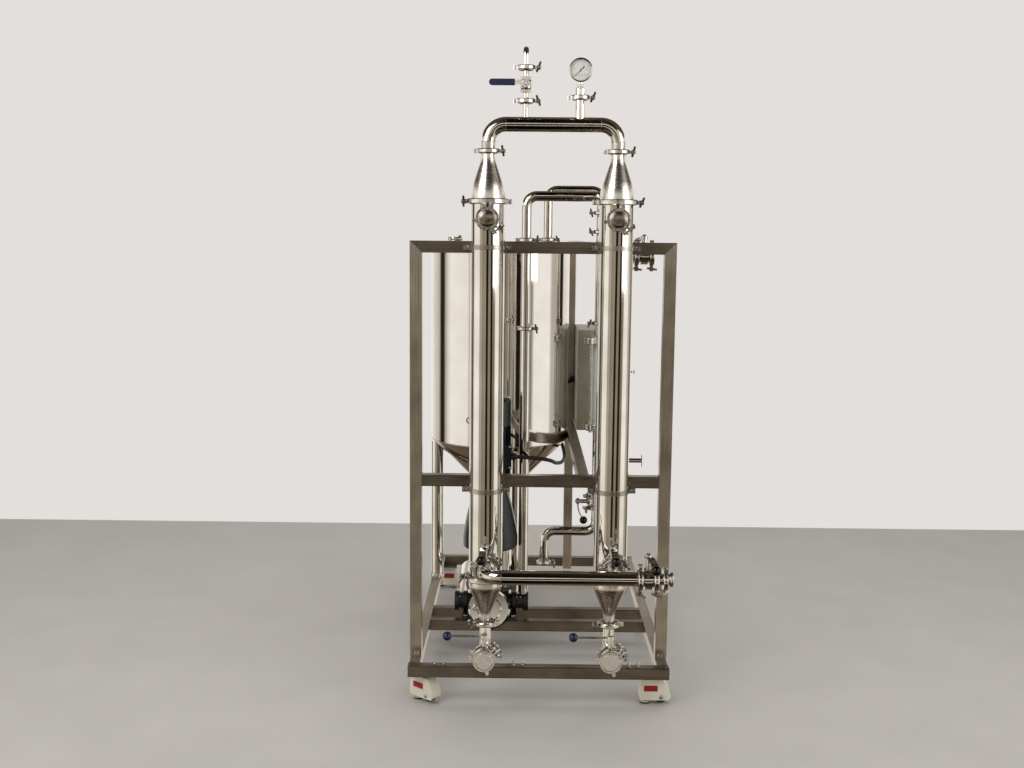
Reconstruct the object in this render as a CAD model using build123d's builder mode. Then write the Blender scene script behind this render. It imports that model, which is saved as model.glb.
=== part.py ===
# Two-column membrane filtration unit on a wheeled frame.
# Millimetres, Z up. The front, with the two filter columns, looks along -Y.
# Sizes below count Y from the front face of the base frame; every piece is
# written out moved back by mid_y, so that the origin is on the floor midway
# between the sides and midway between the frontmost knob and the rear.
import os
from math import cos, pi, radians, sin, tan

from build123d import *

# Frame
base_w = 900.0
base_d = 1450.0
tube = 40.0
tube_r = 3.0
base_z = 100.0
base_top = base_z + tube
portal_y = 95.0
portal_top = 1592.0
mid_top = 790.0
post_y = base_d - 2 * tube
pump_bar_ys = (513.0, 665.0)

# Columns and the 48 mm piping on them
col_x = (-185.0, 240.0)
col_y = 25.0
col_r = 57.0
col_wall = 2.5
col_bottom = 452.0
col_len = 1270.0
col_top = col_bottom + col_len
pipe_r = 24.0
pipe_wall = 1.6
bend_r = 57.0
cone_shoulder = col_bottom - 33.0
cone_len = 89.0
cone_bottom = cone_shoulder - cone_len
drain_clamp_z = cone_bottom - 40.0
drain_z = drain_clamp_z - 95.0
drain_r = 19.0
drain_bend = 38.0
reducer_shoulder = col_top + 38.0
reducer_len = 96.0
reducer_top = reducer_shoulder + reducer_len
u_clamp_z = reducer_top + 29.0
u_pipe_z = u_clamp_z + 87.0
upper_port_z = col_top - 57.0
port_z = col_bottom + 56.0
port_len = 15.0

# Saddles
saddle_t = 2.5
saddle_h = 16.0
saddle_reach = 81.0
saddle_block_w = 60.0
saddle_drop = 33.0

# Clamp unions
ferrule_r = 32.0
ferrule_t = 3.2
union_gap = 0.3
union_r = 38.5
union_w = 15.0
ear_len = 19.0
ear_w = 19.0
ear_gap = 7.0
bolt_r = 3.2
column_flange_r = 63.0
column_flange_t = 4.0
column_union_r = 70.0
column_union_w = 18.0
small_union_r = 31.0
small_ferrule_r = 25.2

# Butterfly valves
valve_r = 34.0
valve_neck_r = 25.5
valve_disc_w = 24.0
valve_len = 52.0
spindle_r = 8.5
spindle_gap = 0.05
pin_r = 5.0
knob_reach = 82.0
knob_drop = 25.0
blade_w = 22.0
left_swing = -6.0
right_swing = 4.0
header_swing = 12.0
flow_swing = -90.0
branch_swing = 200.0
spindle_len = 76.0
branch_spindle_len = 58.0
rod_reach = 125.0
knob_r = 16.5
rod_r = 4.0

# Vent branch and gauge branch on the U pipe
vent_x = -64.0
gauge_x = 113.0
vent_union_z = (u_pipe_z + 74.0, u_pipe_z + 180.0)
vent_valve_z = u_pipe_z + 126.0
vent_r = 9.5
vent_lever_len = 119.0
vent_grip_gap = 35.0
gooseneck_top = u_pipe_z + 250.0
gooseneck_r = 20.0
gauge_union_z = u_pipe_z + 86.0
gauge_z = u_pipe_z + 173.0
gauge_r = 38.5
gauge_depth = 26.0

# Tank
tank_r = 290.0
tank_wall = 3.0
tank_x = -base_w / 2 + tank_r
tank_y = 800.0 + tank_r
post_x = tank_x + tank_r + tube / 2
tank_bottom = 758.0
tank_top = 1556.0
outlet_len = 45.0
outlet_r = 25.5
lid_rise = 26.0
lid_vent_off = 185.0
leg_r = 25.5
leg_ring_r = tank_r - leg_r
leg_foot_w = 96.0
leg_foot_t = 8.0
leg_angles = (180.0, -75.0, 75.0)
seat = 0.3

# Pump
pump_x = -183.0
pump_y = 589.0
pump_axis_z = 190.0
pump_body_r = 74.0
pump_foot_w = 210.0
pump_foot_t = 12.0
casing_r = 48.0
casing_flange_r = 94.0
cover_r = 80.0
cover_t = 9.0
cover_boss_r = 16.0
port_neck_r = 30.0
port_block_r = 38.0
port_flange_w = 18.0
port_block_x = ((-320.0, -268.0), (-98.0, -33.0))
stool_r = 106.0
stool_bottom = 413.0
stool_top = 660.0
sleeve_r = 74.0
sleeve_bottom = 262.0
tie_bolt_r = 6.0
motor_r = 78.0
motor_top = 1000.0
fin_h = 8.0
fin_t = 3.0
fin_root = 1.2
fin_count = 24
fan_cover_z = 890.0
box_w = 56.0
box_h = 92.0
box_z = 778.0
box_x = pump_x + box_w - 4.0
box_y = pump_y - box_w - 8.0

# Long pipe runs
riser_x = -55.0
riser_r = 19.0
riser_top = 1760.0
return_x = 35.0
return_y = tank_y - 90.0
return_top = 1798.0
lid_union_z = 1597.0
riser_union_zs = (1262.0, 1596.0)
flow_x = 252.0
flow_bottom = 370.0
flow_end = 235.0
flow_union_zs = (1255.0, 1630.0, 1707.0)
flow_valve_z = 500.0
meter_z0 = 807.0
meter_len = 389.0
meter_disc_r = 58.0
meter_disc_t = 28.0
meter_tube_r = 27.0
meter_rod_r = 5.0
meter_rod_ring = 44.0
branch_y = 200.0
branch_z = 1550.0
feed_z = 1640.0
sample_z = 677.0
sample_reach = 186.0

# Control cabinet
cab_w = 200.0
cab_d = 320.0
cab_h = 430.0
cab_wall = 1.5
cab_edge_r = 4.0
door_t = 18.0

# Casters
caster_inset = 52.0
caster_x = base_w / 2 - caster_inset
caster_ys = (caster_inset, base_d - caster_inset)
plate_t = 6.0
wheel_r = 25.0
wheel_w = 18.0
wheel_lift = 3.0
wheel_z = wheel_r + wheel_lift
wheel_u = 29.0
foot_u = -25.0
housing_w = 44.0
slot_w = 28.0
swivel_pin_r = 7.0
window_depth = 6.0

# Places that follow from the sizes above
half = base_w / 2
valve_half = valve_len / 2
stem_y = col_y - 45.0
drain_y = col_y - col_r - 6.0
cover_y = pump_bar_ys[0] - tube / 2 - 3.0 - cover_t
drain_valve_y = drain_y - valve_half
port_face_y = col_y - col_r - port_len - ferrule_t
port_valve_y = port_face_y - valve_half
port_out_y = port_face_y - valve_len
header_y = port_out_y - 14.0 - bend_r
header_end = 323.0
header_valve_x = header_end + valve_half
front_y = header_y - knob_reach * cos(radians(header_swing)) - knob_r
mid_y = (base_d + front_y) / 2

os.makedirs("parts", exist_ok=True)

across_x = (0, 90, 0)
across_y = (90, 0, 0)
upward = (Align.CENTER, Align.CENTER, Align.MIN)
downward = (Align.CENTER, Align.CENTER, Align.MAX)


def save(builder, name):
    shifted = Location((0, -mid_y, 0)) * builder.part
    shifted.label = name
    export_step(shifted, f"parts/{name}.step")


def run_pipe(points, bend, outer, inner=0.0):
    # Round pipe along straight runs joined by tangent bends.
    with BuildPart() as run:
        with BuildLine() as path:
            if len(points) > 2:
                FilletPolyline(*points, radius=bend)
            else:
                Line(*points)
        with BuildSketch(Plane(origin=path.line @ 0, z_dir=path.line % 0)):
            Circle(outer)
            if inner:
                Circle(inner, mode=Mode.SUBTRACT)
        sweep()
    return run.part


def stack(profile, where, rounds=None, turn=(0, 0, 0)):
    # Turned piece from (radius, height) pairs; rounds gives corner radii by number.
    with BuildPart() as turned:
        with BuildSketch(Plane.XZ) as section:
            with BuildLine():
                Polyline((0, profile[0][1]), *profile, (0, profile[-1][1]), close=True)
            make_face()
            for number, corner_r in (rounds or {}).items():
                corner = section.vertices().sort_by_distance((*profile[number], 0))[0]
                fillet(corner, corner_r)
        revolve(axis=Axis.Z)
    return Location(where, turn) * turned.part


def disc(radius, thickness, where, turn=(0, 0, 0)):
    # Ferrule plate or flange that starts at a place.
    with BuildPart() as plate:
        with Locations(Location(where, turn)):
            Cylinder(radius, thickness, align=upward)
    return plate.part


def bar(x0, x1, y0, y1, z0, z1):
    # Square tube with rounded long edges.
    with BuildPart() as b:
        with Locations(((x0 + x1) / 2, (y0 + y1) / 2, (z0 + z1) / 2)):
            Box(x1 - x0, y1 - y0, z1 - z0)
        spans = {Axis.X: x1 - x0, Axis.Y: y1 - y0, Axis.Z: z1 - z0}
        longest = max(spans, key=spans.get)
        fillet(b.edges().filter_by(longest), tube_r)
    return b.part


# Base frame
with BuildPart() as base_cross_rails:
    add(bar(-half, half, 0, tube, base_z, base_top))
    add(bar(-half, half, base_d - tube, base_d, base_z, base_top))
save(base_cross_rails, "base_cross_rails")

with BuildPart() as base_side_rails:
    add(bar(-half, -half + tube, tube, base_d - tube, base_z, base_top))
    add(bar(half - tube, half, tube, base_d - tube, base_z, base_top))
save(base_side_rails, "base_side_rails")

with BuildPart() as pump_bars:
    for bar_y in pump_bar_ys:
        add(bar(-half + tube, half - tube, bar_y - tube / 2, bar_y + tube / 2, base_z, base_top))
save(pump_bars, "pump_bars")


# Front portal with mitred corners
def portal_piece(corners):
    with BuildPart() as piece:
        with BuildSketch(Plane.XZ.offset(-portal_y - tube)):
            Polygon(*corners, align=None)
        extrude(amount=tube)
    return piece.part


with BuildPart() as uprights:
    for side in (-1, 1):
        add(portal_piece([
            (side * half, base_top), (side * (half - tube), base_top),
            (side * (half - tube), portal_top - tube), (side * half, portal_top),
        ]))
save(uprights, "uprights")

with BuildPart() as top_rail:
    add(portal_piece([
        (-half, portal_top), (-half + tube, portal_top - tube),
        (half - tube, portal_top - tube), (half, portal_top),
    ]))
save(top_rail, "top_rail")

with BuildPart() as mid_rail:
    add(bar(-half + tube, half - tube, portal_y, portal_y + tube, mid_top - tube, mid_top))
save(mid_rail, "mid_rail")

with BuildPart() as rear_post:
    add(bar(post_x - tube / 2, post_x + tube / 2, post_y, post_y + tube, base_z, portal_top))
save(rear_post, "rear_post")

with BuildPart() as tie_rails:
    for rail_top in (mid_top, portal_top):
        add(bar(post_x - tube / 2, post_x + tube / 2, portal_y + tube, post_y,
                rail_top - tube, rail_top))
save(tie_rails, "tie_rails")

# Control cabinet, hung on the rear post and the middle tie rail
cab_x0 = post_x + tube / 2
cab_y = post_y + tube - 6.0 - cab_d / 2
with BuildPart() as cabinet_box:
    with Locations((cab_x0 + cab_w / 2, cab_y, mid_top + cab_h / 2)):
        Box(cab_w, cab_d, cab_h)
    fillet(cabinet_box.edges().filter_by(Axis.X), cab_edge_r)
    with Locations((cab_x0 + cab_wall + cab_w / 2, cab_y, mid_top + cab_h / 2)):
        Box(cab_w, cab_d - 2 * cab_wall, cab_h - 2 * cab_wall, mode=Mode.SUBTRACT)
save(cabinet_box, "cabinet_box")

with BuildPart() as cabinet_door:
    with Locations((cab_x0 + cab_w + door_t / 2, cab_y, mid_top + cab_h / 2)):
        Box(door_t, cab_d, cab_h)
    fillet(cabinet_door.edges().filter_by(Axis.X), cab_edge_r)
    fillet(cabinet_door.faces().sort_by(Axis.X)[-1].edges(), cab_edge_r - 1)
save(cabinet_door, "cabinet_door")

# Tank: shell, cone bottom with outlet ferrule, domed lid with two nozzles
with BuildPart() as tank_shell:
    with Locations((tank_x, tank_y, tank_bottom)):
        Cylinder(tank_r, tank_top - tank_bottom, align=upward)
        Cylinder(tank_r - tank_wall, tank_top - tank_bottom, align=upward, mode=Mode.SUBTRACT)
save(tank_shell, "tank_shell")

cone_drop = tank_r - outlet_r
outlet_z = tank_bottom - cone_drop - outlet_len
cone_wall = 1.5 * tank_wall
with BuildPart() as tank_cone:
    with BuildSketch(Plane.XZ):
        with BuildLine():
            Polyline(
                (tank_r, tank_bottom), (outlet_r, tank_bottom - cone_drop), (outlet_r, outlet_z),
                (ferrule_r, outlet_z), (ferrule_r, outlet_z - ferrule_t),
                (outlet_r - 2, outlet_z - ferrule_t), (outlet_r - 2, tank_bottom - cone_drop + 2),
                (tank_r - cone_wall, tank_bottom), (tank_r, tank_bottom),
            )
        make_face()
    revolve(axis=Axis.Z)
tank_cone.part = Pos(tank_x, tank_y, 0) * tank_cone.part
save(tank_cone, "tank_cone")

rim_t = 4.0
dome_r = (tank_r ** 2 + lid_rise ** 2) / (2 * lid_rise)
nozzle_places = ((return_x, return_y), (tank_x - lid_vent_off, tank_y - lid_vent_off * 0.76))
with BuildPart() as tank_lid:
    with Locations((tank_x, tank_y, tank_top)):
        Cylinder(tank_r, rim_t + lid_rise, align=upward)
    with Locations((tank_x, tank_y, tank_top + rim_t + lid_rise - dome_r)):
        Sphere(dome_r, mode=Mode.INTERSECT)
    for place in nozzle_places:
        with Locations((*place, tank_top + rim_t + 1)):
            Cylinder(riser_r, lid_union_z - tank_top - rim_t - 1, align=upward)
        add(disc(small_ferrule_r, ferrule_t, (*place, lid_union_z - ferrule_t)))
save(tank_lid, "tank_lid")

# Three legs: one on the left side rail, two on a bearer behind the pump
bearer_x = tank_x + leg_ring_r * cos(radians(leg_angles[1]))
with BuildPart() as tank_bearer:
    add(bar(bearer_x - tube / 2, bearer_x + tube / 2, pump_bar_ys[1] + tube / 2,
            base_d - tube, base_z, base_top))
save(tank_bearer, "tank_bearer")

with BuildPart() as tank_legs:
    for angle in leg_angles:
        leg_x = tank_x + leg_ring_r * cos(radians(angle))
        leg_y = tank_y + leg_ring_r * sin(radians(angle))
        with Locations((leg_x, leg_y, base_top)):
            Cylinder(leg_r, tank_bottom - base_top, align=upward)
            Cylinder(leg_r + 4, 2 * leg_foot_t, align=upward)
            Box(tube, leg_foot_w, leg_foot_t, align=upward)
    with Locations((tank_x, tank_y, tank_bottom - cone_drop / 2)):
        Cone(outlet_r + seat, tank_r + seat, cone_drop, mode=Mode.SUBTRACT)
    with Locations((tank_x, tank_y, tank_bottom)):
        Cylinder(tank_r + seat, tube, mode=Mode.SUBTRACT)
save(tank_legs, "tank_legs")

# Pump: casing on a foot plate, flanged ports, front cover, sleeve held by tie bolts
casing_back = pump_y + pump_body_r
with BuildPart() as pump_base:
    with Locations((pump_x, pump_y, base_top)):
        Box(pump_foot_w, pump_bar_ys[1] - pump_bar_ys[0] + tube, pump_foot_t, align=upward)
    fillet(pump_base.edges().filter_by(Axis.Z), pump_foot_t)
    add(stack([
        (pump_body_r, base_top + pump_foot_t), (pump_body_r, sleeve_bottom - 2 * pump_foot_t),
        (casing_flange_r, sleeve_bottom - pump_foot_t), (casing_flange_r, sleeve_bottom),
    ], (pump_x, pump_y, 0), {1: 8}))
    with Locations((pump_x, cover_y + cover_t, pump_axis_z)):
        Cylinder(casing_r, casing_back - cover_y - cover_t, rotation=across_y, align=downward)
    with Locations((pump_x, pump_y, pump_axis_z)):
        Cylinder(port_neck_r, port_block_x[1][0] + port_block_x[1][0] - 2 * pump_x,
                 rotation=across_x)
save(pump_base, "pump_base")

with BuildPart() as pump_ports:
    for x0, x1 in port_block_x:
        add(stack([
            (port_block_r, 0), (port_block_r, port_flange_w), (port_neck_r, port_flange_w + 3),
            (port_neck_r, x1 - x0 - port_flange_w - 3), (port_block_r, x1 - x0 - port_flange_w),
            (port_block_r, x1 - x0),
        ], (x0, pump_y, pump_axis_z), {0: 3, 5: 3}, across_x))
save(pump_ports, "pump_ports")

with BuildPart() as pump_cover:
    add(stack([
        (cover_r, 0), (cover_r, cover_t - 2), (cover_r - 7, cover_t), (casing_r, cover_t),
        (casing_r - 6, cover_t - 3), (cover_boss_r, cover_t - 3), (cover_boss_r, cover_t),
    ], (pump_x, cover_y + cover_t, pump_axis_z), {2: 2}, across_y))
save(pump_cover, "pump_cover")

with BuildPart() as pump_sleeve:
    add(stack([(sleeve_r, sleeve_bottom), (sleeve_r, stool_bottom)], (pump_x, pump_y, 0)))
    with Locations((pump_x, pump_y, sleeve_bottom)):
        with PolarLocations(sleeve_r + tie_bolt_r + 3, 4, start_angle=45):
            Cylinder(tie_bolt_r, stool_bottom - sleeve_bottom, align=upward)
save(pump_sleeve, "pump_sleeve")

stool_waist_r = motor_r - 16.0
with BuildPart() as motor_stool:
    with BuildSketch(Plane.XZ):
        with BuildLine():
            Polyline((stool_waist_r, stool_top), (0, stool_top), (0, stool_bottom),
                     (stool_r - 4, stool_bottom), (stool_r, stool_bottom + 6),
                     (stool_r, stool_bottom + 40))
            ThreePointArc((stool_r, stool_bottom + 40), (stool_r - 17, stool_bottom + 136),
                          (stool_waist_r, stool_top - 12))
            Line((stool_waist_r, stool_top - 12), (stool_waist_r, stool_top))
        make_face()
    revolve(axis=Axis.Z)
motor_stool.part = Pos(pump_x, pump_y, 0) * motor_stool.part
save(motor_stool, "motor_stool")

# Motor: finned body, fan cover and a terminal box turned to the front right
with BuildPart() as pump_motor:
    add(stack([
        (motor_r, stool_top), (motor_r, stool_top + 14), (motor_r - fin_h, stool_top + 22),
        (motor_r - fin_h, fan_cover_z), (motor_r, fan_cover_z), (motor_r, motor_top),
    ], (pump_x, pump_y, 0), {5: 20}))
    with Locations((pump_x, pump_y, stool_top + 14)):
        with PolarLocations(motor_r - fin_h - fin_root, fin_count):
            Box(fin_h, fin_t, fan_cover_z - stool_top - 10,
                align=(Align.MIN, Align.CENTER, Align.MIN))
    with Locations((box_x, box_y, box_z)):
        Box(box_w, box_w - 6, box_h)
    with Locations((pump_x + box_w / 2 + 4, pump_y - box_w / 2 - 6, box_z)):
        Box(box_w / 2, box_w, box_h - 26)
save(pump_motor, "pump_motor")

# Columns
with BuildPart() as column_housings:
    for cx in col_x:
        with Locations((cx, col_y, col_bottom)):
            Cylinder(col_r, col_len, align=upward)
        add(disc(column_flange_r, column_flange_t, (cx, col_y, col_bottom)))
        add(disc(column_flange_r, column_flange_t, (cx, col_y, col_top - column_flange_t)))
        for level, stub_r, reach in (
            (upper_port_z, drain_r, port_len - 1), (port_z, pipe_r, port_len),
        ):
            with Locations((cx, col_y, level)):
                Cylinder(stub_r, col_r + reach, rotation=across_y, align=upward)
            add(disc(ferrule_r, ferrule_t, (cx, col_y - col_r - reach, level), across_y))
save(column_housings, "column_housings")

with BuildPart() as top_reducers:
    for cx in col_x:
        add(stack([
            (column_flange_r, col_top), (column_flange_r, col_top + column_flange_t),
            (col_r, col_top + column_flange_t), (col_r, reducer_shoulder),
            (pipe_r, reducer_top), (pipe_r, u_clamp_z - ferrule_t),
            (ferrule_r, u_clamp_z - ferrule_t), (ferrule_r, u_clamp_z),
        ], (cx, col_y, 0), {3: 170, 4: 110}))
save(top_reducers, "top_reducers")

with BuildPart() as bottom_cones:
    for cx in col_x:
        add(stack([
            (ferrule_r, drain_clamp_z), (ferrule_r, drain_clamp_z + ferrule_t),
            (drain_r, drain_clamp_z + ferrule_t), (drain_r, cone_bottom),
            (col_r, cone_shoulder), (col_r, col_bottom - column_flange_t),
            (column_flange_r, col_bottom - column_flange_t), (column_flange_r, col_bottom),
        ], (cx, col_y, 0), {3: 60, 4: 50}))
save(bottom_cones, "bottom_cones")


# Clamps. Each is a ring of V section with ears for its swing bolt at +X.
def clamp_ring(outer, plate_r, width, hinges):
    lip = plate_r - 1.5
    plates = ferrule_t + union_gap
    inner = plate_r + union_gap
    with BuildPart() as ring:
        with BuildSketch(Plane.XZ):
            with BuildLine():
                Polyline(
                    (inner, -plates), (lip, -width / 2), (outer - 2, -width / 2),
                    (outer, -width / 2 + 3), (outer, width / 2 - 3), (outer - 2, width / 2),
                    (lip, width / 2), (inner, plates), close=True,
                )
            make_face()
        revolve(axis=Axis.Z)
        with Locations((outer - 1, 0, 0)):
            Box(ear_len, ear_w, width - 3, align=(Align.MIN, Align.CENTER, Align.CENTER))
        with Locations((outer + ear_len / 2 + 1, 0, 0)):
            Box(ear_len + 3, ear_gap, width, mode=Mode.SUBTRACT)
        with Locations((outer + ear_len / 2, 0, 0)):
            Cylinder(bolt_r, ear_w, rotation=across_y, mode=Mode.SUBTRACT)
        for angle in hinges:
            with Locations(Location((0, 0, 0), (0, 0, angle))):
                with Locations((outer + 3, 0, 0)):
                    Box(9, 12, width - 3)
                with Locations((outer + 7, 0, 0)):
                    Cylinder(4.5, width - 1)
    return ring.part


column_ring = clamp_ring(column_union_r, column_flange_r + column_flange_t - ferrule_t - 0.8,
                         column_union_w, (180,))
with BuildPart() as column_clamps:
    for cx, spin in ((col_x[0], 180), (col_x[1], 0)):
        for clamp_z in (col_bottom, col_top):
            with Locations(Location((cx, col_y, clamp_z), (0, 0, spin))):
                add(column_ring)
save(column_clamps, "column_clamps")

# Pipe saddles that hold the columns to the rails
with BuildPart() as column_brackets:
    for cx in col_x:
        for rail_z in (portal_top - tube / 2, mid_top - saddle_drop):
            with Locations((cx, col_y, rail_z)):
                Cylinder(col_r + saddle_t, saddle_h)
                Box(2 * saddle_reach, 12, saddle_h)
                Box(2 * saddle_reach + 2, 2, saddle_h, mode=Mode.SUBTRACT)
            with Locations((cx, portal_y, rail_z)):
                Box(saddle_block_w, portal_y - col_y - col_r + 8, saddle_h,
                    align=(Align.CENTER, Align.MAX, Align.CENTER))
            with Locations((cx, col_y, rail_z)):
                Cylinder(col_r + union_gap, saddle_h, mode=Mode.SUBTRACT)
save(column_brackets, "column_brackets")

# U pipe with its two branch stubs
with BuildPart() as u_pipe:
    add(run_pipe([
        (col_x[0], col_y, u_clamp_z), (col_x[0], col_y, u_pipe_z),
        (col_x[1], col_y, u_pipe_z), (col_x[1], col_y, u_clamp_z),
    ], bend_r, pipe_r))
    for cx in col_x:
        add(disc(ferrule_r, ferrule_t, (cx, col_y, u_clamp_z)))
    for stub_x, stub_r, stub_z in (
        (vent_x, vent_r, vent_union_z[0]), (gauge_x, drain_r - 2, gauge_union_z),
    ):
        with Locations((stub_x, col_y, u_pipe_z)):
            Cylinder(stub_r, stub_z - u_pipe_z, align=upward)
        add(disc(small_ferrule_r, ferrule_t, (stub_x, col_y, stub_z - ferrule_t)))
save(u_pipe, "u_pipe")

# Ball valve on the vent branch
with BuildPart() as vent_valve:
    add(stack([
        (small_ferrule_r, vent_union_z[0]), (small_ferrule_r, vent_union_z[0] + ferrule_t),
        (vent_r, vent_union_z[0] + ferrule_t), (vent_r, vent_valve_z - 25),
        (15, vent_valve_z - 25), (15, vent_valve_z - 16), (19, vent_valve_z - 12),
        (19, vent_valve_z + 12), (15, vent_valve_z + 16), (15, vent_valve_z + 25),
        (vent_r, vent_valve_z + 25), (vent_r, vent_union_z[1] - ferrule_t),
        (small_ferrule_r, vent_union_z[1] - ferrule_t), (small_ferrule_r, vent_union_z[1]),
    ], (vent_x, col_y, 0), {6: 6, 7: 6}))
    with Locations((vent_x, col_y, vent_valve_z)):
        Cylinder(10, col_y - stem_y - 6, rotation=across_y, align=upward)
        Cylinder(pin_r, col_y - stem_y + 8, rotation=across_y, align=upward)
    with BuildSketch(Plane.XY.offset(vent_valve_z - 26)):
        with Locations((vent_x, col_y)):
            RegularPolygon(18, 6)
    extrude(amount=10)
    with BuildSketch(Plane.XY.offset(vent_valve_z + 16)):
        with Locations((vent_x, col_y)):
            RegularPolygon(18, 6)
    extrude(amount=10)
save(vent_valve, "vent_valve")

with BuildPart() as vent_lever:
    with Locations((vent_x - vent_grip_gap, stem_y, vent_valve_z + 3)):
        Box(vent_lever_len - vent_grip_gap, 12, 21,
            align=(Align.MAX, Align.CENTER, Align.CENTER))
    fillet(vent_lever.edges(), 4.0)
    with Locations((vent_x, stem_y, vent_valve_z)):
        Cylinder(13, 5, rotation=across_y)
    with Locations((vent_x, stem_y, vent_valve_z + 3)):
        Box(vent_grip_gap + 6, 4, 14, align=(Align.MAX, Align.CENTER, Align.CENTER))
    with Locations((vent_x, stem_y, vent_valve_z)):
        Cylinder(pin_r + spindle_gap, 30, rotation=across_y, mode=Mode.SUBTRACT)
save(vent_lever, "vent_lever")

with BuildPart() as vent_gooseneck:
    add(run_pipe([
        (vent_x, col_y, vent_union_z[1]), (vent_x, col_y, gooseneck_top - vent_r),
        (vent_x, col_y + 2 * gooseneck_r, gooseneck_top - vent_r),
        (vent_x, col_y + 2 * gooseneck_r, gooseneck_top - vent_r - 2 * gooseneck_r),
    ], gooseneck_r - 0.5, vent_r, vent_r - pipe_wall))
    add(disc(small_ferrule_r, ferrule_t, (vent_x, col_y, vent_union_z[1])))
save(vent_gooseneck, "vent_gooseneck")

with BuildPart() as pressure_gauge:
    add(stack([
        (small_ferrule_r, gauge_union_z), (small_ferrule_r, gauge_union_z + ferrule_t),
        (19, gauge_union_z + 8), (19, gauge_union_z + 28), (9, gauge_union_z + 32),
        (9, gauge_z - 20),
    ], (gauge_x, col_y, 0)))
    add(stack([
        (gauge_r - 2.5, -gauge_depth / 2), (gauge_r - 2.5, gauge_depth / 2 - 7),
        (gauge_r, gauge_depth / 2 - 7), (gauge_r, gauge_depth / 2),
        (gauge_r - 3.5, gauge_depth / 2), (gauge_r - 4.5, gauge_depth / 2 - 4),
    ], (gauge_x, col_y, gauge_z), {0: 4, 3: 2}, across_y))
save(pressure_gauge, "pressure_gauge")

# Drains and permeate header
with BuildPart() as drain_elbows:
    for cx in col_x:
        add(run_pipe([
            (cx, col_y, drain_clamp_z), (cx, col_y, drain_z), (cx, drain_y, drain_z),
        ], drain_bend, drain_r))
        add(disc(ferrule_r, ferrule_t, (cx, col_y, drain_clamp_z - ferrule_t)))
        add(disc(ferrule_r, ferrule_t, (cx, drain_y + ferrule_t, drain_z), across_y))
save(drain_elbows, "drain_elbows")

with BuildPart() as permeate_header:
    add(run_pipe([
        (col_x[0], port_out_y, port_z), (col_x[0], header_y, port_z),
        (header_end, header_y, port_z),
    ], bend_r, pipe_r))
    add(run_pipe([(col_x[1], port_out_y, port_z), (col_x[1], header_y, port_z)], 0, pipe_r))
    for cx in col_x:
        add(disc(ferrule_r, ferrule_t, (cx, port_out_y, port_z), across_y))
    add(disc(ferrule_r, ferrule_t, (header_end - ferrule_t, header_y, port_z), across_x))
save(permeate_header, "permeate_header")

# Butterfly valve bodies: centre, and the turns of the bore and of the spindle
branch_x = col_x[1] + drain_bend + 72.0
valves = [
    ((col_x[0], drain_valve_y, drain_z), across_y, (0, 0, 0)),
    ((col_x[1], drain_valve_y, drain_z), across_y, (0, 0, 0)),
    ((col_x[0], port_valve_y, port_z), across_y, (0, 0, 0)),
    ((col_x[1], port_valve_y, port_z), across_y, (0, 0, 0)),
    ((header_valve_x, header_y, port_z), across_x, (0, 0, 0)),
    ((flow_x, return_y, flow_valve_z), (0, 0, 0), (0, -90, 0)),
    ((branch_x, branch_y, branch_z), across_x, (0, 0, 0)),
]
valve_spindles = (spindle_len,) * 6 + (branch_spindle_len,)
valve_body = stack([
    (ferrule_r, -valve_half), (ferrule_r, -valve_half + ferrule_t),
    (valve_neck_r, -valve_half + ferrule_t), (valve_neck_r, -valve_disc_w / 2),
    (valve_r, -valve_disc_w / 2), (valve_r, -1), (valve_r - 2, 0), (valve_r, 1),
    (valve_r, valve_disc_w / 2), (valve_neck_r, valve_disc_w / 2),
    (valve_neck_r, valve_half - ferrule_t), (ferrule_r, valve_half - ferrule_t),
    (ferrule_r, valve_half),
], (0, 0, 0))
with BuildPart() as butterfly_valves:
    for (centre, turn, spindle_turn), spindle in zip(valves, valve_spindles):
        with Locations(Location(centre, turn)):
            add(valve_body)
        with Locations(Location(centre, spindle_turn)):
            Cylinder(spindle_r, spindle - 8, align=upward)
            Cylinder(pin_r, spindle + 10, align=upward)
            Cylinder(spindle_r + 5, valve_r + 5, align=upward)
save(butterfly_valves, "butterfly_valves")


# Valve levers. Each is built at its spindle, pointing along -Y, knob below the hub.
def short_lever(name, valve, spindle, turn):
    with BuildPart() as lever:
        Cylinder(13, 12)
        with BuildSketch(Plane.YZ):
            with BuildLine():
                Line((0, 2), (-16, 2))
                ThreePointArc((-16, 2), (-46, -3.5), (-72, -20))
                Line((-72, -20), (-75, -27))
                ThreePointArc((-75, -27), (-47, -9.5), (-14, -3))
                Line((-14, -3), (0, -3))
                Line((0, -3), (0, 2))
            make_face()
        extrude(amount=blade_w / 2, both=True)
        with Locations((0, -knob_reach, -knob_drop)):
            Sphere(knob_r)
        Cylinder(pin_r + spindle_gap, 30, mode=Mode.SUBTRACT)
    centre = Vector(*valve[0])
    along = Location((0, 0, 0), valve[2]) * Location((0, 0, spindle), (0, 0, turn))
    lever.part = Location(centre) * along * lever.part
    save(lever, name)


def rod_lever(name, valve, reach):
    with BuildPart() as lever:
        Cylinder(12, 12)
        with Locations((-reach / 2, 0, 0)):
            Cylinder(rod_r, reach, rotation=across_x)
        with Locations((-reach, 0, 0)):
            Sphere(knob_r - 1)
        Cylinder(pin_r + spindle_gap, 30, mode=Mode.SUBTRACT)
    centre = valve[0]
    lever.part = Pos(centre[0], centre[1], centre[2] + spindle_len) * lever.part
    save(lever, name)


rod_lever("left_drain_lever", valves[0], rod_reach)
rod_lever("right_drain_lever", valves[1], rod_reach)
short_lever("left_port_lever", valves[2], spindle_len, left_swing)
short_lever("right_port_lever", valves[3], spindle_len, right_swing)
short_lever("header_lever", valves[4], spindle_len, header_swing)
short_lever("flow_lever", valves[5], spindle_len, flow_swing)
short_lever("branch_lever", valves[6], branch_spindle_len, branch_swing)

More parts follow.
